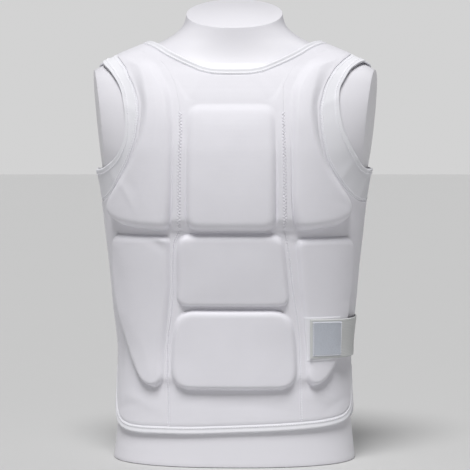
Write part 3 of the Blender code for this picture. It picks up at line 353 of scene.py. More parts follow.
# The stage, in metres: its sky dims from the horizon up, between two heights of a unit direction.
# A lamp is a name, a turn and a rise in degrees, its spread and its strength.
FLOOR_RADIUS, FLOOR_SIDES, FLOOR_DROP, LAMP_REACH = 40.0, 96, 0.0008, 2.5
SKY_COLOUR, SKY_HORIZON, SKY_TOP = (1.0, 1.0, 1.0), 0.65, 0.03
SKY_FROM, SKY_TO = 0.08, 0.24
LAMPS = (("key", -9.0, 64.0, 26.0, 3.25), ("back_light", 160.0, 66.0, 40.0, 0.35))

# What later pieces need of earlier ones: outer points with their directions, and plain grids
surfaces = {}
plain = {}


def through(at, values, where):
    """The values at `where` on the smooth curve through `values` at the stations `at`."""
    at, values = np.asarray(at, float), np.asarray(values, float)
    where = np.clip(where, at[0], at[-1])
    slope = np.gradient(values, at, axis=0)
    i = np.clip(np.searchsorted(at, where, side="right") - 1, 0, len(at) - 2)
    span = at[i + 1] - at[i]
    t = (where - at[i]) / span
    if values.ndim == 2:
        span, t = span[..., None], t[..., None]
    start = values[i] * (1 + 2 * t) + slope[i] * span * t
    end = values[i + 1] * (3 - 2 * t) - slope[i + 1] * span * (1 - t)
    return start * (1 - t) ** 2 + end * t**2


def pairs(first, second):
    """Points of two numbers, such as across and height, or angle and height."""
    return np.stack([first, second], axis=-1)


def read(table, where, column):
    """A column of a table, straight between its rows, where its first column is `where`."""
    return np.interp(where, table[:, 0], table[:, column])


def run_lengths(points):
    """How far along a row of points each one lies."""
    steps = np.linalg.norm(np.diff(points, axis=0), axis=1)
    return np.concatenate([[0.0], np.cumsum(steps)])


def walked(line, reach, where):
    """Points of a line at some distances, from the distances `reach` of its own points."""
    return np.stack([np.interp(where, reach, column) for column in line.T], axis=-1)


def unit(vectors):
    """The vectors made one long."""
    return vectors / np.linalg.norm(vectors, axis=-1, keepdims=True)


def figure_sections():
    """The sections made many, smoothly, with more of them where the outline turns."""
    at = np.concatenate([[0], np.cumsum(np.sqrt(np.hypot(*np.diff(FIGURE[:, :2], axis=0).T)))])
    return through(at, FIGURE, np.linspace(0, at[-1], SECTION_COUNT))


SECTIONS = figure_sections()


def body(angle, height):
    """Points of the figure, each level section a superellipse that is deeper behind."""
    wide, front, back, square = (read(SECTIONS, height, k) for k in (1, 2, 3, 4))
    turn = np.radians(angle)
    s, c = np.sin(turn), np.cos(turn)
    deep = np.where(c > 0, front, back)
    r = ((np.abs(s) / wide) ** square + (np.abs(c) / deep) ** square) ** (-1 / square)
    return np.stack([r * s, -r * c, height + 0 * r], axis=-1)


def tangents(angle, height):
    """How the figure's point moves for one degree, and for one millimetre of height."""
    turn, rise = 0.6, 1.5
    round_it = (body(angle + turn, height) - body(angle - turn, height)) / (2 * turn)
    up_it = (body(angle, height + rise) - body(angle, height - rise)) / (2 * rise)
    return round_it, up_it


def skin(angle, height, lift):
    """The figure's points moved straight out by `lift`."""
    angle, height = np.broadcast_arrays(np.asarray(angle, float), np.asarray(height, float))
    out = unit(np.cross(*tangents(angle, height)))
    return body(angle, height) + out * np.asarray(lift, float)[..., None]


GIRTH_ANGLES = np.arange(-180, 181.0)
GIRTH_HEIGHTS = np.arange(0, GIRTH_TOP, GIRTH_STEP)


def girth_rings():
    """Lengths round each level section from its centre front."""
    rings = body(GIRTH_ANGLES[None, :], GIRTH_HEIGHTS[:, None])
    steps = np.linalg.norm(np.diff(rings, axis=1), axis=2)
    lengths = np.concatenate([np.zeros((len(rings), 1)), np.cumsum(steps, axis=1)], axis=1)
    return lengths - lengths[:, [180]]


GIRTHS = girth_rings()


def girth_ring(height):
    """The lengths round the level sections at some heights."""
    level = np.clip(height / GIRTH_STEP, 0, len(GIRTH_HEIGHTS) - LAST_LEVEL)
    low = level.astype(int)
    share = (level - low)[:, None]
    return GIRTHS[low] * (1 - share) + GIRTHS[low + 1] * share


def across_of(angle, height):
    """How far round its level section an angle lies from the centre front."""
    angle, height = np.broadcast_arrays(np.asarray(angle, float), np.asarray(height, float))
    ring = girth_ring(height.ravel())
    place = np.clip(angle.ravel() + 180, 0, LAST_DEGREE)
    low = place.astype(int)
    row = np.arange(len(low))
    found = ring[row, low] + (ring[row, low + 1] - ring[row, low]) * (place - low)
    return found.reshape(angle.shape)


def angle_of(across, height):
    """The angle that lies so far round its level section."""
    across, height = np.broadcast_arrays(np.asarray(across, float), np.asarray(height, float))
    ring = girth_ring(height.ravel())
    flat = across.ravel()
    low = np.clip((ring < flat[:, None]).sum(axis=1) - 1, 0, len(GIRTH_ANGLES) - 2)
    row = np.arange(len(low))
    start, end = ring[row, low], ring[row, low + 1]
    return (low - 180 + (flat - start) / (end - start)).reshape(across.shape)


def ease(angle, height):
    """The gap from form to cloth: the vest bridges the hollow of the back."""
    turn = np.radians(angle)
    behind = np.clip(-np.cos(turn), 0, 1) ** 2
    hollow = np.exp(-(((height - HOLLOW_HEIGHT) / HOLLOW_REACH) ** 2))
    neck = np.clip((height - NECK_EASE_FROM) / (NECK_EASE_FULL - NECK_EASE_FROM), 0, 1)
    return EASE + SIDE_EASE * np.sin(turn) ** 2 + HOLLOW_EASE * behind * hollow + NECK_EASE * neck


def cloth(points, out):
    """Points of the vest `out` beyond the ease, from an array of angles and heights."""
    angle, height = points[..., 0], points[..., 1]
    return skin(angle, height, ease(angle, height) + out)


def trace(points, count):
    """Stations equally far apart on the smooth line through angles and heights."""
    points = np.asarray(points, float)
    at = run_lengths(body(*points.T))
    fine = through(at, points, np.linspace(0, at[-1], TRACE_POINTS))
    reach = run_lengths(body(*fine.T))
    return walked(fine, reach, np.linspace(0, reach[-1], count + 1))


def shifted(path, distance, closed=False):
    """A path moved sideways on the figure, to the left of its run as seen from outside."""
    moved = path.copy()
    distance = np.broadcast_to(distance, len(path))[:, None] / SHIFT_ROUNDS
    for _ in range(SHIFT_ROUNDS):
        spots = body(*moved.T)
        if closed:
            along = np.roll(spots, -1, axis=0) - np.roll(spots, 1, axis=0)
        else:
            along = np.gradient(spots, axis=0)
        turn, rise = tangents(*moved.T)
        side = unit(np.cross(unit(np.cross(turn, rise)), along)) * distance
        a, b, c = (turn * turn).sum(1), (turn * rise).sum(1), (rise * rise).sum(1)
        p, q = (side * turn).sum(1), (side * rise).sum(1)
        moved += np.stack([c * p - b * q, a * q - b * p], axis=1) / (a * c - b * b)[:, None]
    return moved


def neck_height(angle):
    """The height of the neck's edge, which is the same on both sides."""
    folded = np.abs((np.asarray(angle, float) + 180) % 360 - 180)
    return through(NECKLINE[:, 0], NECKLINE[:, 1], folded)


def neck_line(start, end, count):
    """Stations along the neck's edge between two angles."""
    angles = np.linspace(start, end, NECK_POINTS)
    return trace(pairs(angles, neck_height(angles)), count)


def seam_line(side, heights):
    """The lower part of a stitched front seam, as unsigned across at some heights."""
    return through(SEAMS[:, 0], SEAMS[:, COLUMN[side]], heights)


def seam_top(side):
    """The rest of the seam, from the chest pads' head to the shoulder, across and height."""
    start = float(angle_of(seam_line(side, CHEST_HEAD), CHEST_HEAD))
    line = np.vstack([[start, CHEST_HEAD], loop_part(SEAM_TOPS, side)])
    line = trace(line, TOP_ROW - HEAD_ROW)
    return pairs(across_of(*line.T), line[:, 1])


def side_line(side, rows):
    """The side seam from the vent's top to the armpit, as unsigned angle and height."""
    whole = ARMPIT - VENT_TOP
    share = np.append(np.linspace(0, 1 - ARMPIT_STEP / whole, rows), 1)
    low, high = SIDE_SEAM[side]
    return pairs(low + (high - low) * share, VENT_TOP + whole * share)


def loop_part(table, side):
    """One side's angles and heights, from a table of both sides."""
    return table[:, [COLUMN[side], 0]]


def outer_line(side, front):
    """A panel's edge from its hem's corner up, as unsigned angle and height.

    The front's ends at the shoulder's tip, and the back's goes on along the shoulder.
    """
    top = [SIDE_SEAM[side][0], VENT_TOP]
    if front:
        vent = FRONT_VENT[side]
        low = pairs(angle_of(vent[:, 0], vent[:, 1]), vent[:, 1])
        arm = loop_part(ARM_SEAM_FRONT, side)
    else:
        low, arm = BACK_VENT, loop_part(ARM_SEAM_BACK, side)
    vent = trace(np.vstack([low, top]), VENT_ROW)
    seam = side_line(side, ARMPIT_ROW - VENT_ROW)
    line = np.vstack([vent, seam[1:], trace(arm, TOP_ROW - ARMPIT_ROW)[1:]])
    if front:
        return line
    shoulder = np.linspace(SHOULDER_TIP, float(neck_height(90)), SHOULDER_ROWS + 1)[1:]
    return np.vstack([line, pairs(np.full_like(shoulder, 90.0), shoulder)])


def row_shares(count, crowded):
    """Shares of a span and of a bevel that place `count` rows, some close to each edge."""
    if not crowded:
        return np.linspace(0, 1, count + 1), np.zeros(count + 1)
    middle = np.linspace(0, 1, count - 3)
    share = np.concatenate([[0, 0], middle, [1, 1]])
    return share, np.concatenate([[0, NEAR_EDGE], 1 - 2 * middle, [-NEAR_EDGE, 0]])


def climb(keys):
    """The heights of every row up to the chest pads' head, from the key heights."""
    rows = [keys[0]]
    for low, high, (count, bevel) in zip(keys, keys[1:], ROW_BLOCKS):
        share, crowd = row_shares(count, bevel > 0)
        rows += list(low + np.outer(share, high - low) + bevel * crowd[:, None])[1:]
    return np.array(rows)


def pad_columns(low, high, bevel, count):
    """Columns from one edge of a pad to the other, crowded on its bevels."""
    share, crowd = row_shares(count, True)
    bevel = np.minimum(bevel, BEVEL_LIMIT * (high - low))
    return low[:, None] + np.outer(high - low, share) + bevel[:, None] * crowd


def coons(bottom, top, left, right):
    """Fills four edges that share their corners, each a row of two-number points."""
    s = np.linspace(0, 1, len(bottom))[None, :, None]
    t = np.linspace(0, 1, len(left))[:, None, None]
    sides = left[:, None] * (1 - s) + right[:, None] * s
    ends = bottom[None] * (1 - t) + top[None] * t
    low = bottom[0] * (1 - s) + bottom[-1] * s
    high = top[0] * (1 - s) + top[-1] * s
    return sides + ends - low * (1 - t) - high * t


def settled(grid):
    """Moves a grid's inner points until its cells are even and none folds over."""
    for _ in range(SETTLING_ROUNDS):
        right, left, up, down = grid[1:-1, 2:], grid[1:-1, :-2], grid[2:, 1:-1], grid[:-2, 1:-1]
        across, along = (right - left) / 2, (up - down) / 2
        a, b, c = (
            (first * second).sum(-1, keepdims=True)
            for first, second in ((along, along), (across, along), (across, across))
        )
        corners = grid[2:, 2:] - grid[2:, :-2] - grid[:-2, 2:] + grid[:-2, :-2]
        grid[1:-1, 1:-1] = (a * (right + left) + c * (up + down) - b * corners / 2) / (a + c) / 2
    return grid


def pad_form(height, column):
    """How the pads stand out at a height, from one column of their table."""
    return read(PAD_RELIEF, height, column)


def middle_grid():
    """The centre panel's points, as across and height, row by row up from the hem."""
    levels = (BELLY_FOOT, BELLY_SPLIT, BELLY_SPLIT_TOP, BELLY_HEAD, CHEST_FOOT, CHEST_HEAD)
    across = np.zeros((HEAD_ROW + 1, MIDDLE_COLUMNS + 1))
    for _ in range(MIDDLE_ROUNDS):
        foot = through(*FRONT_HEM.T, across[0])
        heights = climb([foot] + [np.full_like(foot, level) for level in levels])
        level = heights.mean(axis=1)
        low, high = (read(MIDDLE_EDGES, level, k) for k in (1, 2))
        across[:, 1:-1] = pad_columns(low, high, pad_form(level, 3), MIDDLE_COLUMNS - 2)
        across[:, 0] = -seam_line("left", heights[:, 0])
        across[:, -1] = seam_line("right", heights[:, -1])
    lower = pairs(across, heights)
    left, right = seam_top("left") * (-1, 1), seam_top("right")
    neck = neck_line(-90.0, 90.0, MIDDLE_COLUMNS)
    neck = pairs(across_of(*neck.T), neck[:, 1])
    left, right = (np.vstack([edge, row]) for edge, row in ((left, neck[:1]), (right, neck[-1:])))
    return np.vstack([lower, settled(coons(lower[-1], neck, left, right))[1:]])


def side_grid(side, seam):
    """A side panel's points, unsigned across and height, from its front seam outwards."""
    inner, outer = PAD_COLUMN[side]
    edge = outer_line(side, front=True)
    edge = pairs(across_of(*edge.T), edge[:, 1])
    key_rows = np.cumsum([0] + [count for count, _ in ROW_BLOCKS])
    columns = 1 + PAD_COLUMNS + FLANK_COLUMNS
    heights = np.tile(seam[: HEAD_ROW + 1, 1:], columns + 1)
    across = np.zeros_like(heights)
    for _ in range(SIDE_ROUNDS):
        low = read(SIDE_EDGES, heights[:, 1], inner)
        high = read(SIDE_EDGES, heights[:, 1 + PAD_COLUMNS], outer)
        bevel = pad_form(heights.mean(axis=1), 3)
        across[:, 0], across[:, -1] = seam[: HEAD_ROW + 1, 0], edge[: HEAD_ROW + 1, 0]
        across[:, 1 : 2 + PAD_COLUMNS] = pad_columns(low, high, bevel, PAD_COLUMNS)
        for k in range(1, FLANK_COLUMNS):
            share = k / FLANK_COLUMNS
            across[:, 1 + PAD_COLUMNS + k] = high * (1 - share) + across[:, -1] * share
        keys = []
        for number, row in enumerate(key_rows):
            ends = (seam[row, 1], edge[row, 1])
            keys.append(key_heights(side, number, across[row], low[row], high[row], ends))
        heights = climb(keys)
        share = (across - across[:, :1]) / (high[:, None] - across[:, :1])
        bend = edge[: HEAD_ROW + 1, 1] - heights[:, -1]
        heights += bend[:, None] * np.clip(share, 0, 1) ** ARM_FAN
    lower = pairs(across, heights)
    lower[:, 0], lower[:, -1] = seam[: HEAD_ROW + 1], edge[: HEAD_ROW + 1]
    ridge = np.linspace(seam[-1, 1], SHOULDER_TIP, columns + 1)
    top = pairs(across_of(np.full_like(ridge, 90.0), ridge), ridge)
    upper = coons(lower[-1], top, seam[HEAD_ROW:], edge[HEAD_ROW:])
    return np.vstack([lower, upper[1:]])


def key_heights(side, number, across, low, high, ends):
    """A key row's heights on a side panel, which follow the pads' lower and upper edges."""
    share = np.clip((across - low) / (high - low), 0, 1)
    if number == HEM_KEY:
        heights = through(*FRONT_HEM.T, across * SIGN[side])
    elif number == BELLY_FOOT_KEY:
        heights = BELLY_FOOT + np.interp(share, *BELLY_RISE.T)
    elif number == BELLY_HEAD_KEY:
        heights = np.full_like(across, SIDE_HEAD[side])
    elif number == CHEST_FOOT_KEY:
        heights = CHEST_FOOT + through(*CHEST_RISE.T, share)
    else:
        heights = ends[0] + (ends[1] - ends[0]) * (across - across[0]) / (across[-1] - across[0])
    heights[0], heights[-1] = ends
    return heights


def rounded(outline, radius):
    """A closed outline walked in even steps, with its corners averaged round."""
    closed = np.vstack([outline, outline[:1]])
    reach = run_lengths(closed)
    where = np.linspace(0, reach[-1], int(reach[-1] / OUTLINE_STEP), endpoint=False)
    even = walked(closed, reach, where)
    half = int(radius / OUTLINE_STEP)
    return np.mean([np.roll(even, k, axis=0) for k in range(-half, half + 1)], axis=0)


def depth_inside(outline, across, height):
    """How far inside a closed outline each point lies, negative outside it."""
    point = pairs(across, height)[..., None, :]
    start, end = outline, np.roll(outline, -1, axis=0)
    leg = end - start
    share = np.clip(((point - start) * leg).sum(-1) / (leg * leg).sum(-1), 0, 1)
    reach = np.linalg.norm(point - start - leg * share[..., None], axis=-1).min(-1)
    x, y = point[..., 0], point[..., 1]
    spans = (start[:, 1] > y) != (end[:, 1] > y)
    rise = np.where(leg[:, 1] == 0, 1, leg[:, 1])
    crosses = spans & (x < start[:, 0] + leg[:, 0] * (y - start[:, 1]) / rise)
    return np.where(crosses.sum(-1) % 2 == 1, reach, -reach)


def middle_pads():
    """The outlines of the three pads down the middle."""
    outlines = []
    for foot, head, corner in (
        (BELLY_FOOT, BELLY_SPLIT, "low"),
        (BELLY_SPLIT_TOP, BELLY_HEAD, "belly"),
        (CHEST_FOOT, CHEST_HEAD, "chest"),
    ):
        heights = np.linspace(foot, head, MIDDLE_PAD_POINTS)
        down, up = (pairs(read(MIDDLE_EDGES, heights, k), heights) for k in (1, 2))
        outlines.append(rounded(np.vstack([up, down[::-1]]), CORNERS[corner]))
    return outlines


def side_pads(side):
    """The outlines of a side panel's belly pad and chest pad, in unsigned across."""
    inner, outer = PAD_COLUMN[side]
    outlines = []
    for foot, head, rise in (
        (BELLY_FOOT, SIDE_HEAD[side], BELLY_RISE),
        (CHEST_FOOT, SHOULDER_END, CHEST_RISE),
    ):
        heights, heights_in = (
            np.linspace(foot + rise[k, 1], head, SIDE_PAD_POINTS) for k in (-1, 0)
        )
        far, near = read(SIDE_EDGES, heights, outer), read(SIDE_EDGES, heights_in, inner)
        share = np.linspace(0, 1, PAD_FOOT_POINTS)[1:-1]
        lower = np.interp(share, *rise.T) if foot == BELLY_FOOT else through(*rise.T, share)
        low = pairs(near[0] + (far[0] - near[0]) * share, foot + lower)
        edges = [low, pairs(far, heights), pairs(near, heights_in)[::-1]]
        outlines.append(rounded(np.vstack(edges), CORNERS["side"]))
    return outlines


def relief(outlines, across, height, column):
    """How far the pads stand out: a full bevel low down, a softer one up on the chest."""
    full, bevel, soft = (pad_form(height, k) for k in (column, 3, 4))
    raised = np.zeros_like(height)
    for outline in outlines:
        reach = bevel * (1 - PAD_TIGHT * soft)
        low = np.clip(1 - (height - outline[:, 1].min()) / LOW_REACH, 0, 1)
        reach *= 1 - low * np.interp(height, LOW_HEIGHTS, (LOW_TIGHT, 0))
        share = np.clip(depth_inside(outline, across, height) / reach, 0, 1)
        round_edge = (1 - (1 - share) ** PAD_ROLL) ** PAD_FOOT
        profile = round_edge + (share**2 * (3 - 2 * share) - round_edge) * soft
        raised = np.maximum(raised, full * profile)
    return raised


def to_angles(grid, sign=1):
    """A grid of unsigned across and height as signed angle and height."""
    return pairs(angle_of(grid[..., 0] * sign, grid[..., 1]), grid[..., 1])


def outward(grid):
    """The figure's outward directions at angles and heights."""
    return unit(np.cross(*tangents(grid[..., 0], grid[..., 1])))


def trimmed(points, out, ring):
    """The points with their outer rows and columns drawn in by half a seam's gap."""

    def draw_in(edge, beside, normal):
        """How far and which way the points of an edge move, towards those beside them."""
        if ring:
            along = np.roll(edge, -1, axis=0) - np.roll(edge, 1, axis=0)
        else:
            along = np.gradient(edge, axis=0)
        aside = unit(np.cross(normal, along))
        return aside * np.sign((aside * (beside - edge)).sum()) * SEWN_GAP / 2

    moves = [
        ((slice(None), 0), draw_in(points[:, 0], points[:, 1], out[:, 0])),
        ((slice(None), -1), draw_in(points[:, -1], points[:, -2], out[:, -1])),
    ]
    if not ring:
        moves.append((0, draw_in(points[0], points[1], out[0])))
        moves.append((-1, draw_in(points[-1], points[-2], out[-1])))
    points = points.copy()
    for place, move in moves:
        points[place] += move
    return points


def back_grid():
    """The back panel's angles and heights, from the right side seam round to the left."""
    right = outer_line("right", front=False)
    left = outer_line("left", front=False)
    left[:, 0] = 360 - left[:, 0]
    mirrored = (BACK_HEM[:-1] * (-1, 1) + (360, 0))[::-1]
    hem = trace(np.vstack([BACK_HEM, mirrored]), BACK_COLUMNS)
    return coons(hem, neck_line(90.0, 270.0, BACK_COLUMNS), right, left)


def hem_widths(length):
    """The hem binding's width at each station, drawn to a tip at both vents."""
    widths = np.full(length, HEM_BINDING_WIDTH)
    widths[: len(VENT_TAPER)] = VENT_TAPER
    widths[length - len(VENT_TAPER):] = VENT_TAPER[::-1]
    return widths


def strap_grid(right, back):
    """The strap's angles and heights, along the columns of the panels that it lies on."""
    levels = np.linspace(*STRAP_LEVELS, STRAP_POINTS)
    middle = STRAP_RUN[1, 1]

    def angle_at(line, height):
        """The angle at which a line passes a height."""
        return float(np.interp(height, line[:, 1], line[:, 0]))

    lines = [
        pairs(angle_of(np.full(STRAP_POINTS, mark), levels), levels)
        for mark in (STRAP_END, *PATCH_ACROSS)
    ]
    marks = [angle_at(line, middle) for line in lines]
    for column in right[:, :-1].swapaxes(0, 1):
        angle = angle_at(column, middle)
        if angle > marks[1] and min(abs(angle - mark) for mark in marks) > STRAP_SPACING:
            lines.append(column)
    lines.sort(key=lambda line: angle_at(line, middle))
    lines += [*back[:, :-1].swapaxes(0, 1), back[:, -1] - (STRAP_SHORT, 0)]
    grid = np.zeros((len(STRAP_EDGES), len(lines), 2))
    for row, offset in enumerate(STRAP_EDGES):
        for column, line in enumerate(lines):
            angle = angle_at(line, middle)
            for _ in range(STRAP_ROUNDS):
                height = float(through(*STRAP_RUN.T, angle)) + offset
                angle = angle_at(line, height)
            grid[row, column] = angle, height
    return grid


def strap_lift(grid):
    """How far out of the form's ease the strap's inner face is."""
    return read(STRAP_LIFT, across_of(np.minimum(grid[..., 0], 180.0), grid[..., 1]), 1)


def refined(grid, down, along, ring=False, turn=0.0):
    """A grid whose cells are cut finely, on smooth lines that never overshoot its points."""
    count = len(grid)
    if ring:
        grid = np.concatenate([grid[-2:] - (turn, 0), grid, grid[:3] + (turn, 0)])
    for axis, parts in ((0, down), (1, along)):
        lines = np.moveaxis(grid, axis, 0)
        step = np.diff(lines, axis=0)
        before, after = step[:-1], step[1:]
        same = before * after > 0
        slope = np.zeros_like(lines)
        slope[1:-1] = np.where(same, 2 * before * after / np.where(same, before + after, 1), 0)
        slope[0], slope[-1] = step[0], step[-1]
        fine = []
        for k in range(parts):
            t = k / parts
            start = lines[:-1] * (1 + 2 * t) + slope[:-1] * t
            end = lines[1:] * (3 - 2 * t) - slope[1:] * (1 - t)
            fine.append(start * (1 - t) ** 2 + end * t**2)
        fine = np.stack(fine, axis=1).reshape(-1, *lines.shape[1:])
        grid = np.moveaxis(np.concatenate([fine, lines[-1:]]), 0, axis)
    return grid[2 * down : (2 + count) * down] if ring else grid


def creased(table, across, height):
    """Soft troughs and ridges that bow a little and fade out at their ends."""
    out = np.zeros_like(height)
    for x, z, long, wide, turn, high in table:
        c, s = math.cos(math.radians(turn)), math.sin(math.radians(turn))
        dx, dz = across - x, height - z
        along, aside = dx * c + dz * s, dz * c - dx * s
        bent = (aside + along**2 / (CREASE_BOW * long)) / wide
        out += high * np.exp(-((along / long) ** 2) - bent**2)
    return out


def fine_relief(outlines, across, height, column):
    """The pads as in the solids, with a slight crown and a dip at the foot."""
    raised, full = relief(outlines, across, height, column), pad_form(height, column)
    inside = np.max([depth_inside(outline, across, height) for outline in outlines], axis=0)
    fade = np.clip(raised / full, 0, 1)
    crown = 1 - (1 - np.clip(inside / PAD_CROWN_REACH, 0, 1)) ** 2
    dip = np.exp(-((inside / FOOT_DIP_REACH) ** 2)) * np.clip(full / FOOT_DIP_FULL, 0, 1)
    return raised + crown * PAD_CROWN * fade - dip * FOOT_DIP


def edge_reach(points):
    """How far each point of a grid lies from its first and last columns, and rows."""
    reaches = []
    for axis in (1, 0):
        lines = np.moveaxis(points, axis, 0)
        steps = np.linalg.norm(np.diff(lines, axis=0), axis=-1)
        run = np.concatenate([np.zeros((1, steps.shape[1])), np.cumsum(steps, axis=0)])
        reaches += [np.moveaxis(reach, 0, axis) for reach in (run, run[-1] - run)]
    return reaches


def rolled_down(lifts, reach, round_by, drop):
    """Lets a face down in a quarter round towards an edge that lies `reach` away."""
    share = np.clip(1 - reach / round_by, 0, 1)
    return lifts - drop * (1 - np.sqrt(1 - share**2))


def rolled_edges(lifts, reaches, round_by, drop):
    """Lets a face down in the same way towards several of its edges."""
    for reach in reaches:
        lifts = rolled_down(lifts, reach, round_by, drop)
    return lifts


def eased(share):
    """A share between none and all, with a soft start and end."""
    share = np.clip(share, 0, 1)
    return share * share * (3 - 2 * share)


def bridged(lifts, reach, height):
    """Raises the trough along a front seam, where the pads press its cloth out."""
    near = eased((BRIDGE_REACH - reach) / (BRIDGE_REACH - BRIDGE_FLAT))
    share = near * np.interp(height, *BRIDGE.T)
    level = FRONT_WALL + share * pad_form(height, 1)
    over = np.logaddexp(lifts / BRIDGE_BLEND, level / BRIDGE_BLEND) * BRIDGE_BLEND
    return lifts + (over - lifts) * np.clip(BRIDGE_ONSET * share, 0, 1)


def cloth_map(grid):
    """Where each point lies on the cloth, in metres, for the weave."""
    angle, height = grid[..., 0], grid[..., 1]
    around = across_of(((angle + 180) % 360) - 180, height)
    girth = 2 * across_of(np.full_like(angle, BEHIND), height)
    return pairs(np.where(angle > 180, around + girth, around), height) * MM


def smooth_object(name, points, faces, material):
    """One smooth object from millimetre points and lists of corners."""
    mesh = bpy.data.meshes.new(name)
    mesh.from_pydata((points * MM).tolist(), [], faces)
    mesh.materials.append(material)
    mesh.shade_smooth()
    made = bpy.data.objects.new(name, mesh)
    bpy.context.scene.collection.objects.link(made)
    return made


def piece(name, points, faces, material, spots=None):
    """A smooth object whose folds stay sharp, with the cloth's map if it has one."""
    made = smooth_object(name, points, faces.tolist(), material)
    mesh = made.data
    if spots is not None:
        layer = mesh.uv_layers.new(name="cloth")
        corners = np.zeros(len(mesh.loops), np.int32)
        mesh.loops.foreach_get("vertex_index", corners)
        layer.data.foreach_set("uv", spots[corners].astype(np.float32).ravel())
    mesh.validate()
    mesh.set_sharp_from_angle(angle=math.radians(SHARP))
    return made


def fine_wall(name, grid, over, under, material, ring=False):
    """A closed wall from a fine grid, its outer lifts and its inner ones."""
    out = outward(grid)
    outer = trimmed(cloth(grid, over), out, ring)
    inner = trimmed(cloth(grid, under), out, ring)
    surfaces[name] = (outer, out)
    rows, columns = grid.shape[:2]
    top = np.arange(rows * columns).reshape(rows, columns)
    if ring:
        top = np.vstack([top, top[:1]])
    low = top + rows * columns
    faces = [cells(top), cells(low)[:, ::-1]]
    borders = [(top[:, 0], low[:, 0], True), (top[:, -1], low[:, -1], False)]
    if not ring:
        borders += [(top[0], low[0], False), (top[-1], low[-1], True)]
    for upper, lower, flip in borders:
        strip = np.stack([upper[:-1], upper[1:], lower[1:], lower[:-1]], axis=1)
        faces.append(strip if flip else strip[:, ::-1])
    faces = np.concatenate(faces)
    points = np.concatenate([outer.reshape(-1, 3), inner.reshape(-1, 3)])
    faces = turned_out(points, faces)
    spots = cloth_map(grid).reshape(-1, 2)
    return piece(name, points, faces, material, np.concatenate([spots, spots]))


def cells(index):
    """Every four-sided cell of a grid of point numbers."""
    return np.stack(
        [index[:-1, :-1], index[:-1, 1:], index[1:, 1:], index[1:, :-1]], axis=-1
    ).reshape(-1, 4)


def beside(name, axis, last, distance):
    """The line on a made piece that runs `distance` in from one of its edges."""
    points, out = (np.moveaxis(part, axis, 0) for part in surfaces[name])
    if last:
        points, out = points[::-1], out[::-1]
    line, normals = [], []
    for k in range(points.shape[1]):
        reach = run_lengths(points[:, k])
        line.append(walked(points[:, k], reach, distance))
        normals.append(walked(out[:, k], reach, distance))
    return np.array(line), unit(np.array(normals))


def between(seam, low, high):
    """The part of a line and its normals that lies between two heights."""
    kept = (seam[0][:, 2] > low) & (seam[0][:, 2] < high)
    return [part[kept] for part in seam]


def spaced(line, normals, count=None, closed=False):
    """The same line and normals at even distances, as many as `count` or one for each stitch."""
    if closed:
        line, normals = (np.vstack([part, part[:1]]) for part in (line, normals))
    reach = run_lengths(line)
    count = count or max(2, int(round(reach[-1] / (STITCH + STITCH_SPACE))) + 1)
    return [walked(part, reach, np.linspace(0, reach[-1], count)) for part in (line, normals)]


def tube(line, normals, radii):
    """Points and faces of a thread along a line, with its radius at each point."""
    along = unit(np.gradient(line, axis=0))
    aside = unit(np.cross(along, normals))
    above = np.cross(aside, along)
    turn = np.linspace(0, 2 * math.pi, THREAD_SIDES, endpoint=False)
    level, up = np.cos(turn)[None, :, None], np.sin(turn)[None, :, None]
    ring = level * aside[:, None] + up * above[:, None]
    points = line[:, None] + ring * np.asarray(radii)[:, None, None]
    index = np.arange(len(line) * THREAD_SIDES).reshape(len(line), THREAD_SIDES)
    around = np.hstack([index, index[:, :1]])
    faces = cells(around).tolist()
    ends = [index[0, ::-1].tolist(), index[-1].tolist()]
    return points.reshape(-1, 3), [face[::-1] for face in faces + ends]


def thread(name, parts, material):
    """Many tubes as one object, which rides on the one body like every piece."""
    points, faces, count = [], [], 0
    for part, rings in parts:
        points.append(part)
        faces += [[corner + count for corner in face] for face in rings]
        count += len(part)
    put_in_place(smooth_object(name, np.concatenate(points), faces, material), "binding")


def running(line, normals, radius, closed=False):
    """Short stitches, end to end along a line, each sunk into the cloth at its ends."""
    points, out = spaced(line, normals, closed=closed)
    at = np.array(STITCH_AT)[:, None] * (STITCH / (STITCH + STITCH_SPACE))
    rise = np.array(STITCH_RISE)[:, None] * radius
    stitches = []
    for start, end, up in zip(points[:-1], points[1:], out[:-1]):
        spots = start + (end - start) * at + up * rise
        stitches.append(tube(spots, np.tile(up, (len(at), 1)), radius * np.array(STITCH_WIDTH)))
    return stitches


def zigzag(first, second):
    """One thread that goes to and fro between two lines, each with its normals."""
    count = int(round(run_lengths(first[0])[-1] / ZIGZAG_PITCH))
    (one, normals), (other, _) = (spaced(*seam, count) for seam in (first, second))
    odd = (np.arange(count) % 2 == 1)[:, None]
    turns, normals = np.where(odd, one, other)[:, None], normals[:-1, None]
    share = np.array(ZIGZAG_LEG)[None, :, None]
    rise = ZIGZAG_LIFT * (1 + 4 * share * (1 - share))
    line = turns[:-1] * (1 - share) + turns[1:] * share + normals * rise
    normals = np.broadcast_to(normals, line.shape)
    radii = np.full(line.size // 3, ZIGZAG_THREAD)
    return tube(line.reshape(-1, 3), normals.reshape(-1, 3), radii)


def front_lifts(grid, side, pads, column, crease):
    """How far a front panel's face stands out, with its pads and its creases."""
    across = across_of(grid[..., 0], grid[..., 1]) * SIGN[side]
    folds = creased(FRONT_CREASES[side], across, grid[..., 1])
    return FRONT_WALL + fine_relief(pads, across, grid[..., 1], column) + crease * folds


def band_grid(side):
    """The stretch band's angles and heights, from the panels' edge to the arm's."""
    count = TOP_ROW - ARMPIT_ROW
    loops = []
    for front, back in ((ARM_SEAM_FRONT, ARM_SEAM_BACK), (ARM_EDGE_FRONT, ARM_EDGE_BACK)):
        up = trace(loop_part(front, side), count)
        down = trace(loop_part(back, side), count)[::-1]
        loops.append(np.vstack([up[:-1], down[:-1]]) * (SIGN[side], 1))
    shares = np.linspace(0, 1, BAND_COLUMNS + 1)[None, :, None]
    return loops[0][:, None] * (1 - shares) + loops[1][:, None] * shares


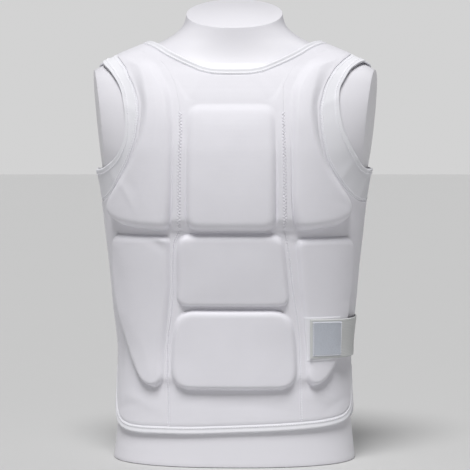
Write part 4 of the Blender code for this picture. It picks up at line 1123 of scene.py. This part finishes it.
def form_shell():
    """The form's open shell in level rings, from its foot to above all its cuts."""
    shares = np.linspace(0, len(SECTIONS) - 1, FORM_FINE_RINGS)
    rings = []
    for height in np.interp(shares, np.arange(len(SECTIONS)), SECTIONS[:, 0]):
        level = np.full(FORM_FINE_SIDES, min(height, GIRTH_HEIGHTS[-1]))
        half = float(across_of(FORM_BEHIND, level[0]))
        angle = angle_of(np.linspace(-half, half, FORM_FINE_SIDES, endpoint=False), level)
        rings.append(body(angle, np.full(FORM_FINE_SIDES, height)))
    points = np.concatenate(rings)
    index = np.arange(len(points)).reshape(FORM_FINE_RINGS, FORM_FINE_SIDES)
    return points, turned_out(points, cells(np.hstack([index, index[:, :1]])))


def form_cuts():
    """The flat cuts of the form, of its neck and its arms: a place and a direction each."""
    tilt, lean, turn = (
        math.radians(value) for value in (NECK_CUT_TILT, ARM_CUT_LEAN, ARM_CUT_TURN)
    )
    cuts = [((0, 0, NECK_CUT_HEIGHT), (0, -math.sin(tilt), math.cos(tilt)))]
    for sign in (-1, 1):
        facing = (
            sign * math.cos(lean) * math.cos(turn),
            -math.cos(lean) * math.sin(turn),
            -math.sin(lean),
        )
        cuts.append(((sign * ARM_CUT_REACH, 0, ARM_CUT_HEIGHT), facing))
    return cuts


def bound_edges():
    """The tapes by name: each one's edge, its widths, its roll and whether it is a ring."""
    left, centre, right, back = (plain[key] for key in ("left", "centre", "right", "back"))
    neck = np.vstack([centre[-1], back[-1, 1:-1]])
    top = VENT_ROW + 1
    front_hem = np.vstack([
        left[VENT_ROW:0:-1, -1], left[0, ::-1], centre[0, 1:-1], right[0], right[1:top, -1]
    ])
    back_hem = np.vstack([back[VENT_ROW:0:-1, 0], back[0], back[1:top, -1]])
    for hem in (front_hem, back_hem):
        hem[0] += (hem[1] - hem[0]) * VENT_TIP
        hem[-1] += (hem[-2] - hem[-1]) * VENT_TIP
    return (
        ("neck", neck, NECK_BINDING_WIDTH, NECK_ROLL, True),
        ("front_hem", front_hem, -hem_widths(len(front_hem)), HEM_ROLL, False),
        ("back_hem", back_hem, -hem_widths(len(back_hem)), HEM_ROLL, False),
    )


def tape_form(edge, width, roll, ring):
    """A tape's fine grid and its lifts, with the ridges, round edges and pucker of a fold."""
    down, along = CUTS["tape"]
    coarse = np.stack([shifted(edge, width * share, ring) for share in roll[:, 0]], axis=1)
    grid = refined(coarse, down, along, ring, 360.0 if ring else 0.0)
    share = np.interp(np.arange(grid.shape[1]) / along, np.arange(len(roll)), roll[:, 0])
    lifts = np.tile(through(roll[:, 0], roll[:, 1], share), (len(grid), 1))
    reaches = edge_reach(cloth(grid, lifts))[:2]
    round_by = np.minimum(TAPE_ROUND, (reaches[0] + reaches[1]) * TAPE_ROUND_SHARE)
    for reach, drop in zip(reaches, TAPE_DROPS):
        lifts = rolled_down(lifts, reach, round_by, drop)
    reach = run_lengths(cloth(grid, lifts)[:, 0])
    waves = 2 * math.pi * round(reach[-1] / PUCKER_PITCH)
    return grid, lifts + (PUCKER * np.sin(waves * reach / reach[-1]))[:, None]


def area_of(points, ring=False):
    """The area of a grid of millimetre points, in square metres."""
    if ring:
        points = np.concatenate([points, points[:1]])
    one, two = points[1:, 1:] - points[:-1, :-1], points[1:, :-1] - points[:-1, 1:]
    return float(np.linalg.norm(np.cross(one, two), axis=-1).sum()) / 2 * MM * MM


def cut_size(points):
    """The greatest width and length of a grid of millimetre points, in metres."""
    width = max(run_lengths(line)[-1] for line in points)
    length = max(run_lengths(line)[-1] for line in points.swapaxes(0, 1))
    return width * MM, length * MM


def turned_out(points, faces):
    """Four-sided faces of a closed shape, turned about where it is inside out."""
    a, b, c, d = (points[faces[:, k]] for k in range(4))
    volume = (np.cross(a, b) * c).sum() + (np.cross(a, c) * d).sum()
    return faces if volume > 0 else faces[:, ::-1]


class Value:
    """A socket of a material's nodes, so that shader maths reads as sums."""

    def __init__(self, tree, socket):
        self.tree, self.socket = tree, socket

    def sum_of(self, operation, other=0.0, swapped=False):
        """Adds one Math node, with this value as its second term where it is swapped."""
        node = self.tree.nodes.new("ShaderNodeMath")
        node.operation = operation
        for slot, item in zip(node.inputs, (other, self) if swapped else (self, other)):
            if isinstance(item, Value):
                self.tree.links.new(item.socket, slot)
            else:
                slot.default_value = item
        return Value(self.tree, node.outputs[0])

    def __add__(self, other):
        return self.sum_of("ADD", other)

    def __radd__(self, other):
        return self.sum_of("ADD", other, True)

    def __sub__(self, other):
        return self.sum_of("SUBTRACT", other)

    def __rsub__(self, other):
        return self.sum_of("SUBTRACT", other, True)

    def __mul__(self, other):
        return self.sum_of("MULTIPLY", other)

    def __rmul__(self, other):
        return self.sum_of("MULTIPLY", other, True)

    def __abs__(self):
        return self.sum_of("ABSOLUTE")

    def wave(self):
        """The sine of the value."""
        return self.sum_of("SINE")


class Finish:
    """A material's or world's shader: its constants are set, and its nodes made by one method."""

    def __init__(self, owner, shader="Principled BSDF", **constants):
        owner.use_nodes = True
        self.owner, self.tree = owner, owner.node_tree
        self.shader = self.tree.nodes[shader]
        for key, value in constants.items():
            self.shader.inputs[key.replace("_", " ")].default_value = value

    def node(self, kind, settings=None, output=0, **values):
        """Adds a node of a kind, with its settings and its sockets' values or links.

        A socket is named by its name, or by "i" and its number where names are shared.
        """
        made = self.tree.nodes.new("ShaderNode" + kind)
        for key, value in (settings or {}).items():
            setattr(made, key, value)
        for key, value in values.items():
            slot = made.inputs[int(key[1:]) if key[0] == "i" and key[1:].isdigit() else key]
            if isinstance(value, Value):
                self.tree.links.new(value.socket, slot)
            else:
                slot.default_value = value
        return Value(self.tree, made.outputs[output])

    def feed(self, name, value):
        """Links a value to one of the shader's own sockets."""
        self.tree.links.new(value.socket, self.shader.inputs[name])

    def place(self):
        """Where a point lies on its object, in metres."""
        return self.node("TexCoord", output="Object")

    def weave_spot(self):
        """Where a point lies on the cloth, across and down, in metres."""
        spot = self.node("UVMap", {"uv_map": "cloth"})
        return (self.node("SeparateXYZ", output=k, Vector=spot) for k in (0, 1))

    def noise(self, scale, detail=3.0, roughness=0.5):
        """Soft noise over the object's own coordinates."""
        return self.node(
            "TexNoise", Vector=self.place(), Scale=scale, Detail=detail, Roughness=roughness
        )

    def tinted(self, colour, shade, amount):
        """The colour made a little darker where `shade` is low."""
        dark = tuple(channel * (1 - amount) for channel in colour)
        return self.node(
            "Mix", {"data_type": "RGBA"}, 2, i0=shade, i6=(*dark, 1), i7=(*colour, 1)
        )

    def raised(self, height, distance, strength):
        """Feeds the shader a bump from a height."""
        self.feed("Normal", self.node("Bump", Height=height, Distance=distance, Strength=strength))


def cloth_finish(name, colour, pitch, strength, roughness):
    """A smooth knitted cloth: fine wales and courses, a slight sheen and uneven whiteness."""
    finish = Finish(
        bpy.data.materials.new(name), Roughness=roughness, Sheen_Weight=0.12,
        Sheen_Roughness=0.4, Specular_IOR_Level=0.35,
    )
    across, down = finish.weave_spot()
    turn = 2 * math.pi / (pitch * MM)
    courses = (down * (turn * COURSES_PER_WALE)).wave()
    wales = (across * turn + courses * WALE_WAVER).wave()
    drift = finish.noise(26.0, detail=4.0, roughness=0.55)
    grain = finish.noise(900.0, detail=2.0)
    finish.raised(wales * 0.5 + courses * 0.28 + grain * 0.5, distance=0.00012, strength=strength)
    finish.feed("Base Color", finish.tinted(colour, drift, amount=0.06))
    finish.feed("Roughness", roughness - 0.06 + drift * 0.12)
    return finish.owner


def elastic_finish(name, colour):
    """Woven elastic: cords along its length and close picks across, with painted shade in the
    grooves between the cords.
    """
    finish = Finish(
        bpy.data.materials.new(name), Roughness=0.72, Sheen_Weight=0.1, Sheen_Roughness=0.5
    )
    across, down = finish.weave_spot()
    cords = abs((down * (math.pi / (CORD_PITCH * MM))).wave())
    picks = (across * (2 * math.pi / (PICK_PITCH * MM))).wave()
    grain = finish.noise(700.0)
    finish.raised(cords * 0.8 + picks * 0.25 + grain * 0.4, distance=0.00035, strength=0.8)
    # Painted shade: the colour is darker in the grooves between the cords; the grain adds uneven
    # tone.
    finish.feed("Base Color", finish.tinted(colour, cords * 0.6 + grain * 0.5, amount=0.18))
    return finish.owner


def pile_finish(name, colour):
    """Brushed loops: a ragged bump, with painted shade that darkens the gaps between the tufts."""
    finish = Finish(
        bpy.data.materials.new(name), Roughness=0.93, Sheen_Weight=0.3, Sheen_Roughness=0.6
    )
    tufts = 1 - finish.node("TexVoronoi", Vector=finish.place(), Scale=950.0)
    fuzz = finish.noise(1500.0, roughness=0.7)
    patches = finish.noise(90.0, roughness=0.6)
    finish.raised(fuzz * 0.7 + tufts * 0.6, distance=0.0005, strength=0.9)
    # Painted shade in the gaps between the tufts comes from the tufts' term; the fuzz and the
    # patches give uneven tone.
    shade = fuzz * 0.5 + patches * 0.35 + tufts * 0.2
    finish.feed("Base Color", finish.tinted(colour, shade, amount=0.3))
    return finish.owner


def moulded_finish(name, colour):
    """The form's satin paint, faintly uneven as moulded shells are."""
    finish = Finish(
        bpy.data.materials.new(name), Coat_Weight=0.12, Coat_Roughness=0.25,
        Specular_IOR_Level=0.5,
    )
    ripple = finish.noise(7.0, detail=2.0, roughness=0.4)
    grain = finish.noise(420.0, detail=2.0)
    finish.raised(ripple * 0.9 + grain * 0.02, distance=0.0012, strength=0.5)
    finish.feed("Base Color", finish.tinted(colour, ripple, amount=0.03))
    finish.feed("Roughness", 0.36 + grain * 0.06 + ripple * 0.08)
    return finish.owner


def thread_finish(name, colour):
    """Twisted sewing thread."""
    finish = Finish(
        bpy.data.materials.new(name), Roughness=0.6, Sheen_Weight=0.2, Sheen_Roughness=0.4
    )
    twist = finish.noise(1600.0, detail=2.0)
    finish.raised(twist, distance=0.0001, strength=0.6)
    finish.feed("Base Color", finish.tinted(colour, twist, amount=0.08))
    return finish.owner


def floor_finish(name, colour):
    """A matt floor, hardly uneven."""
    finish = Finish(bpy.data.materials.new(name), Roughness=0.85, Specular_IOR_Level=0.1)
    finish.feed("Base Color", finish.tinted(colour, finish.noise(1.2, detail=2.0), amount=0.01))
    return finish.owner


def pick_faces(made, test):
    """Selects, in edit mode, the faces of a piece that pass a test."""
    bpy.ops.mesh.select_mode(type="FACE")
    bpy.ops.mesh.select_all(action="DESELECT")
    bpy.ops.object.mode_set(mode="OBJECT")
    for face in made.data.polygons:
        face.select = test(face)
    bpy.ops.object.mode_set(mode="EDIT")


def lowest(made, face):
    """The height of a face's lowest corner."""
    return min(made.data.vertices[corner].co.z for corner in face.vertices)


def put_in_place(made, slot, *nodes):
    """A finished piece rides on the one body and stands for its solids."""
    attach(made, "root")
    if nodes:
        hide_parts(*nodes)


class VestSizes(bpy.types.PropertyGroup):
    """Sizes that a user may change"""

    crease: FloatProperty(
        name="Creases", description="How deep the soft creases are, as a share", default=1.0,
        min=0.0, max=2.0,
    )
    thread: FloatProperty(
        name="Thread", description="Radius of the sewing thread", default=THREAD * MM,
        unit="LENGTH", precision=5,
    )
    weave: FloatProperty(
        name="Weave", description="Width of one wale of the knitted cloth, in millimetres",
        default=1.15, min=0.5, max=4.0,
    )


class VestColours(bpy.types.PropertyGroup):
    """Colours that a user may change"""

    cloth: FloatVectorProperty(
        name="Cloth", description="Colour of the padded panels and the plain cloth",
        subtype="COLOR", default=(0.80, 0.79, 0.84), min=0, max=1,
    )
    tape: FloatVectorProperty(
        name="Tape", description="Colour of the edge bindings", subtype="COLOR",
        default=(0.83, 0.83, 0.87), min=0, max=1,
    )
    thread: FloatVectorProperty(
        name="Thread", description="Colour of the sewing thread", subtype="COLOR",
        default=(0.96, 0.95, 1.0), min=0, max=1,
    )
    elastic: FloatVectorProperty(
        name="Elastic", description="Colour of the waist strap", subtype="COLOR",
        default=(0.66, 0.67, 0.67), min=0, max=1,
    )
    pile: FloatVectorProperty(
        name="Loop pile", description="Colour of the patch on the strap's end", subtype="COLOR",
        default=(0.60, 0.635, 0.71), min=0, max=1,
    )
    form: FloatVectorProperty(
        name="Form", description="Colour of the dress form", subtype="COLOR",
        default=(0.80, 0.79, 0.835), min=0, max=1,
    )
    floor: FloatVectorProperty(
        name="Floor", description="Colour of the floor", subtype="COLOR",
        default=(0.55, 0.55, 0.55), min=0, max=1,
    )


class VEST_OT_form(bpy.types.Operator):
    """Makes the smooth limbless form, with its neck and arms cut off flat"""

    bl_idname = "vest.form"
    bl_label = "Dress form"

    def execute(self, context):
        finish = moulded_finish("satin_form", tuple(context.scene.vest_colours.form))
        made = piece("form_look", *form_shell(), finish)

        bpy.ops.object.select_all(action="DESELECT")
        made.select_set(True)
        context.view_layer.objects.active = made
        bpy.ops.object.mode_set(mode="EDIT")
        bpy.ops.mesh.select_mode(type="EDGE")
        bpy.ops.mesh.select_all(action="DESELECT")
        bpy.ops.mesh.select_non_manifold()
        bpy.ops.mesh.edge_face_add()
        for place, facing in form_cuts():
            pick_faces(made, lambda face: lowest(made, face) > ARM_CUT_FOOT * MM)
            bpy.ops.mesh.bisect(
                plane_co=[value * MM for value in place], plane_no=facing, use_fill=True,
                clear_outer=True,
            )
        pick_faces(made, lambda face: len(face.vertices) > CAP_CORNERS)
        bpy.ops.mesh.region_to_loop()
        bpy.ops.mesh.bevel(
            offset=FORM_BEVEL * MM, segments=FORM_BEVEL_CUTS, affect="EDGES", clamp_overlap=True
        )
        bpy.ops.mesh.select_all(action="SELECT")
        bpy.ops.mesh.normals_make_consistent(inside=False)
        bpy.ops.object.mode_set(mode="OBJECT")
        bpy.ops.object.shade_smooth_by_angle(angle=math.radians(FORM_SHARP))
        put_in_place(made, "form", "dress_form")
        return {"FINISHED"}


class VEST_OT_front(bpy.types.Operator):
    """Makes the three padded front panels, with their creases"""

    bl_idname = "vest.front"
    bl_label = "Front panels"

    def execute(self, context):
        sizes, colours = context.scene.vest_sizes, context.scene.vest_colours
        finish = cloth_finish(
            "padded_cloth", tuple(colours.cloth), sizes.weave, strength=0.5, roughness=0.6
        )
        middle = middle_grid()
        plain["centre"] = to_angles(middle)
        pads = {"centre": middle_pads()}
        for side, column in (("left", 0), ("right", -1)):
            grid = side_grid(side, middle[: TOP_ROW + 1, column] * (SIGN[side], 1))
            plain[side] = to_angles(grid, SIGN[side])
            pads[side] = side_pads(side)
        for side, column in (("centre", 1), ("left", 2), ("right", 2)):
            grid = refined(plain[side], *CUTS["front"])
            lifts = front_lifts(grid, side, pads[side], column, sizes.crease)
            ends = edge_reach(cloth(grid, lifts))
            flat = ends[:2] if side == "centre" else ends[:1]
            for reach in flat:
                lifts = bridged(lifts, reach, grid[..., 1])
                drop = np.interp(grid[..., 1], *FLAT_DROP.T)
                lifts = rolled_down(lifts, reach, FLAT_SEAM, drop)
            lifts = rolled_edges(lifts, ends[len(flat):], SEAM_ROUND, SEAM_DROP)
            made = fine_wall(f"front_{side}_look", grid, lifts, np.zeros_like(lifts), finish)
            put_in_place(made, "padded_cloth", f"front_{side}_panel")
        return {"FINISHED"}


class VEST_OT_back(bpy.types.Operator):
    """Makes the plain back panel"""

    bl_idname = "vest.back"
    bl_label = "Back panel"

    def execute(self, context):
        sizes, colours = context.scene.vest_sizes, context.scene.vest_colours
        finish = cloth_finish(
            "plain_cloth", tuple(colours.cloth), sizes.weave, strength=0.6, roughness=0.66
        )
        plain["back"] = back_grid()
        grid = refined(plain["back"], *CUTS["back"])
        middle = across_of(np.full(grid.shape[:2], BEHIND), grid[..., 1])
        folds = creased(BACK_CREASES, cloth_map(grid)[..., 0] / MM - middle, grid[..., 1])
        lifts = PLAIN_WALL + sizes.crease * folds
        lifts = rolled_edges(lifts, edge_reach(cloth(grid, lifts)), SEAM_ROUND, SEAM_DROP)
        made = fine_wall("back_look", grid, lifts, lifts - PLAIN_WALL + SEAM_DROP / 2, finish)
        put_in_place(made, "plain_cloth", "back_panel")
        area_of(surfaces["back_look"][0]) * BACK_CUT
        return {"FINISHED"}


class VEST_OT_bands(bpy.types.Operator):
    """Makes the stretch band round each armhole"""

    bl_idname = "vest.bands"
    bl_label = "Armhole bands"

    def execute(self, context):
        finish = bpy.data.materials["plain_cloth"]
        sizes = context.scene.vest_sizes
        for side in ("left", "right"):
            grid = refined(band_grid(side), *CUTS["band"], ring=True)
            share = np.arange(len(grid)) / len(grid)
            folds = sum(
                high * np.exp(-((((share - at + 0.5) % 1 - 0.5) / CREASE_SPAN) ** 2))
                for at, high in BAND_CREASES
            )
            inner, outer = edge_reach(cloth(grid, np.zeros(grid.shape[:2])))[:2]
            hem = BAND_HEM_RISE * np.clip((BAND_HEM - outer) / BAND_HEM_STEP, 0, 1)
            fade = np.clip(inner / BAND_FOLD_FADE, 0, 1)
            lifts = PLAIN_WALL + hem + sizes.crease * folds[:, None] * fade
            lifts = rolled_down(lifts, inner, SEAM_ROUND, SEAM_DROP)
            lifts = rolled_down(lifts, outer, BAND_EDGE_ROUND, BAND_EDGE_ROUND)
            name = f"armhole_{side}_look"
            under = np.clip(lifts - PLAIN_WALL - hem, 0, None)
            made = fine_wall(name, grid, lifts, under, finish, ring=True)
            put_in_place(made, "plain_cloth", f"armhole_band_{side}")
            face = surfaces[name][0]
            length = float(run_lengths(np.vstack([face, face[:1]])[:, 0])[-1])
            width = area_of(face, ring=True) / (length * MM)
        return {"FINISHED"}


class VEST_OT_tapes(bpy.types.Operator):
    """Makes the folded tape on the neck and on both hems"""

    bl_idname = "vest.tapes"
    bl_label = "Edge bindings"

    def execute(self, context):
        sizes, colours = context.scene.vest_sizes, context.scene.vest_colours
        weave = sizes.weave * TAPE_WEAVE
        finish = cloth_finish(
            "folded_tape", tuple(colours.tape), weave, strength=0.5, roughness=0.58
        )
        for name, edge, width, roll, ring in bound_edges():
            grid, lifts = tape_form(edge, width, roll, ring)
            under = np.zeros_like(lifts)
            made = fine_wall(f"{name}_tape_look", grid, lifts, under, finish, ring=ring)
            put_in_place(made, "binding", f"{name}_binding")
        return {"FINISHED"}


def add_strap(coarse, finish):
    """The strap itself, let down at both edges and at its free end."""
    grid = refined(coarse, *CUTS["strap"])
    under = strap_lift(grid)
    edges = edge_reach(cloth(grid, under))
    lifts = rolled_edges(under + STRAP_WALL, [*edges[2:], edges[0]], SELVEDGE, SELVEDGE_DROP)
    made = fine_wall("strap_look", grid, lifts, under, finish)
    put_in_place(made, "elastic", "waist_strap")
    length = float(run_lengths(cloth(grid, lifts)[len(grid) // 2])[-1])


def add_patch(coarse, finish):
    """The patch of loop pile, on the part of the strap's grid that it covers."""
    across = across_of(coarse[0, :, 0].clip(max=180), coarse[0, :, 1])
    first, last = (int(np.abs(across - mark).argmin()) for mark in PATCH_ACROSS)
    grid = refined(coarse[1:-1, first : last + 1], *CUTS["patch"])
    under = strap_lift(grid) + STRAP_WALL + SEAM_GAP / 3
    tufts = np.random.default_rng(PILE_SEED).normal(0, PILE, grid.shape[:2])
    edges = edge_reach(cloth(grid, under))
    lifts = rolled_edges(under + PATCH_WALL + tufts, edges, PATCH_WALL, PATCH_WALL)
    made = fine_wall("loop_patch_look", grid, lifts, under, finish)
    put_in_place(made, "loop_pile", "strap_loop_patch")
    size = cut_size(surfaces["loop_patch_look"][0])


def add_tab(crease, finish):
    """The tab under the strap's end, which follows the pad and the creases below it."""
    first, last = TAB_COLUMNS
    lines = plain["right"][:, first : last + 1].swapaxes(0, 1)
    spots = [walked(line, line[:, 1], TAB_HEIGHTS) for line in lines]
    grid = refined(np.stack(spots, axis=1), *CUTS["tab"])
    under = front_lifts(grid, "right", side_pads("right"), 2, crease) + SEAM_GAP / 2
    lifts = under + TAB_WALL
    lifts = rolled_edges(lifts, edge_reach(cloth(grid, lifts)), TAB_WALL, TAB_WALL / 2)
    made = fine_wall("landing_tab_look", grid, lifts, under, finish)
    put_in_place(made, "plain_cloth", "strap_landing_tab")
    size = cut_size(surfaces["landing_tab_look"][0])


class VEST_OT_strap(bpy.types.Operator):
    """Makes the elastic strap, its patch of loop pile and the tab under its end"""

    bl_idname = "vest.strap"
    bl_label = "Waist strap"

    def execute(self, context):
        colours = context.scene.vest_colours
        coarse = strap_grid(plain["right"], plain["back"])
        add_strap(coarse, elastic_finish("woven_elastic", tuple(colours.elastic)))
        add_patch(coarse, pile_finish("loop_pile", tuple(colours.pile)))
        add_tab(context.scene.vest_sizes.crease, bpy.data.materials["plain_cloth"])
        return {"FINISHED"}


class VEST_OT_threads(bpy.types.Operator):
    """Sews the pieces: zigzag on the chest seams, and short stitches everywhere else"""

    bl_idname = "vest.threads"
    bl_label = "Sewing thread"

    def execute(self, context):
        radius = context.scene.vest_sizes.thread / MM
        finish = thread_finish("sewing_thread", tuple(context.scene.vest_colours.thread))

        def row(name, axis, last, distance, closed=False, heights=(0, math.inf)):
            """Running stitches beside an edge of a piece, between two heights."""
            seam = between(beside(f"{name}_look", axis, last, distance), *heights)
            return running(*seam, radius, closed)

        for side, last in (("left", False), ("right", True)):
            edges = ((f"front_{side}", False), ("front_centre", last))
            parts = [zigzag(*(
                between(beside(f"{name}_look", 1, far, ZIGZAG_HALF), ZIGZAG_FOOT, ZIGZAG_HEAD)
                for name, far in edges
            ))]
            for name, far in edges:
                parts += row(name, 1, far, LOCK_HALF, heights=(0, ZIGZAG_FOOT - STITCH))
            thread(f"front_seam_thread_{side}", parts, finish)

            parts = []
            rows = [(False, distance) for distance in BAND_STITCHING]
            for far, distance in [*rows, (True, BAND_HEM - LOCK_HALF)]:
                parts += row(f"armhole_{side}", 1, far, distance, closed=True)
            thread(f"armhole_thread_{side}", parts, finish)

            parts = []
            for name, far in ((f"front_{side}", True), ("back", side == "left")):
                parts += row(name, 1, far, LOCK_HALF, heights=(VENT_TOP, ARMPIT))
            thread(f"side_seam_thread_{side}", parts, finish)

        parts = []
        for name in ("neck", "front_hem", "back_hem"):
            parts += row(f"{name}_tape", 1, False, TAPE_STITCHING, closed=name == "neck")
        thread("tape_thread", parts, finish)

        parts = []
        for name, edges in (
            ("loop_patch", ((0, False), (1, False), (0, True), (1, True))),
            ("landing_tab", ((0, False), (0, True), (1, False))),
        ):
            for axis, far in edges:
                parts += row(name, axis, far, LOCK_HALF)
        thread("strap_thread", parts, finish)
        return {"FINISHED"}


def direction(turn, rise):
    """Away from the chest, turned and raised by so many degrees."""
    turn, rise = math.radians(turn), math.radians(rise)
    level = math.cos(rise)
    return Vector((math.sin(turn) * level, -math.cos(turn) * level, math.sin(rise)))


class VEST_OT_stage(bpy.types.Operator):
    """Sets up the pale floor, the soft light and the camera at the photograph's angle"""

    bl_idname = "vest.stage"
    bl_label = "Stage"

    def execute(self, context):
        scene = context.scene
        bpy.ops.object.select_all(action="DESELECT")
        bpy.ops.mesh.primitive_circle_add(
            vertices=FLOOR_SIDES, radius=FLOOR_RADIUS, fill_type="NGON",
            location=(0, 0, -FLOOR_DROP),
        )
        floor = context.object
        floor.name = "floor"
        bpy.ops.object.transform_apply(location=True, rotation=True, scale=True)
        floor.data.materials.append(floor_finish("pale_floor", tuple(scene.vest_colours.floor)))

        world = bpy.data.worlds.new("studio")
        sky = Finish(world, "Background", Color=(*SKY_COLOUR, 1))
        rise = sky.node("SeparateXYZ", output=2, Vector=sky.node("TexCoord", output="Generated"))
        share = sky.node(
            "MapRange", {"interpolation_type": "SMOOTHSTEP"}, Value=abs(rise),
            **{"From Min": SKY_FROM, "From Max": SKY_TO},
        )
        sky.feed("Strength", SKY_HORIZON - share * (SKY_HORIZON - SKY_TOP))
        scene.world = world
        scene.view_settings.view_transform = "Standard"
        for name, turn, rise, spread, strength in LAMPS:
            towards = direction(turn, rise)
            bpy.ops.object.light_add(
                type="SUN", location=towards * LAMP_REACH,
                rotation=towards.to_track_quat("Z", "Y").to_euler(),
            )
            lamp = context.object
            lamp.name = name
            lamp.data.angle = math.radians(spread)
            lamp.data.energy = strength

        back = direction(CAMERA_TURN, CAMERA_DIP)
        bpy.ops.object.camera_add(
            location=Vector(CAMERA_AIM) + back * CAMERA_DISTANCE,
            rotation=back.to_track_quat("Z", "Y").to_euler(),
        )
        camera = context.object
        camera.data.sensor_width = SENSOR
        camera.data.lens = CAMERA_FOCAL_PIXELS / PHOTO_PIXELS * SENSOR
        camera.data.shift_x = CAMERA_SHIFT / PHOTO_PIXELS
        scene.camera = camera
        return {"FINISHED"}


class VEST_PT_panel(bpy.types.Panel):
    """The vest's sizes, colours and pieces"""

    bl_idname = "VEST_PT_panel"
    bl_label = "Chest protector"
    bl_space_type = "VIEW_3D"
    bl_region_type = "UI"
    bl_category = "Vest"

    def draw(self, context):
        for group in (context.scene.vest_sizes, context.scene.vest_colours):
            box = self.layout.box()
            for key in group.__annotations__:
                box.prop(group, key)
        for kind in PIECES:
            self.layout.operator(kind.bl_idname)


PIECES = (
    VEST_OT_form,
    VEST_OT_front,
    VEST_OT_back,
    VEST_OT_bands,
    VEST_OT_tapes,
    VEST_OT_strap,
    VEST_OT_threads,
    VEST_OT_stage,
)
CLASSES = (VestSizes, VestColours, *PIECES, VEST_PT_panel)


def register():
    """Registers the classes, and gives every scene its sizes and colours."""
    for kind in CLASSES:
        bpy.utils.register_class(kind)
    bpy.types.Scene.vest_sizes = PointerProperty(type=VestSizes)
    bpy.types.Scene.vest_colours = PointerProperty(type=VestColours)


def unregister():
    """Takes the same away again."""
    del bpy.types.Scene.vest_colours
    del bpy.types.Scene.vest_sizes
    for kind in reversed(CLASSES):
        bpy.utils.unregister_class(kind)


def main():
    """Makes every piece and the stage in order."""
    register()
    for kind in PIECES:
        getattr(bpy.ops.vest, kind.bl_idname.split(".")[1])()


if __name__ == "__main__":
    main()
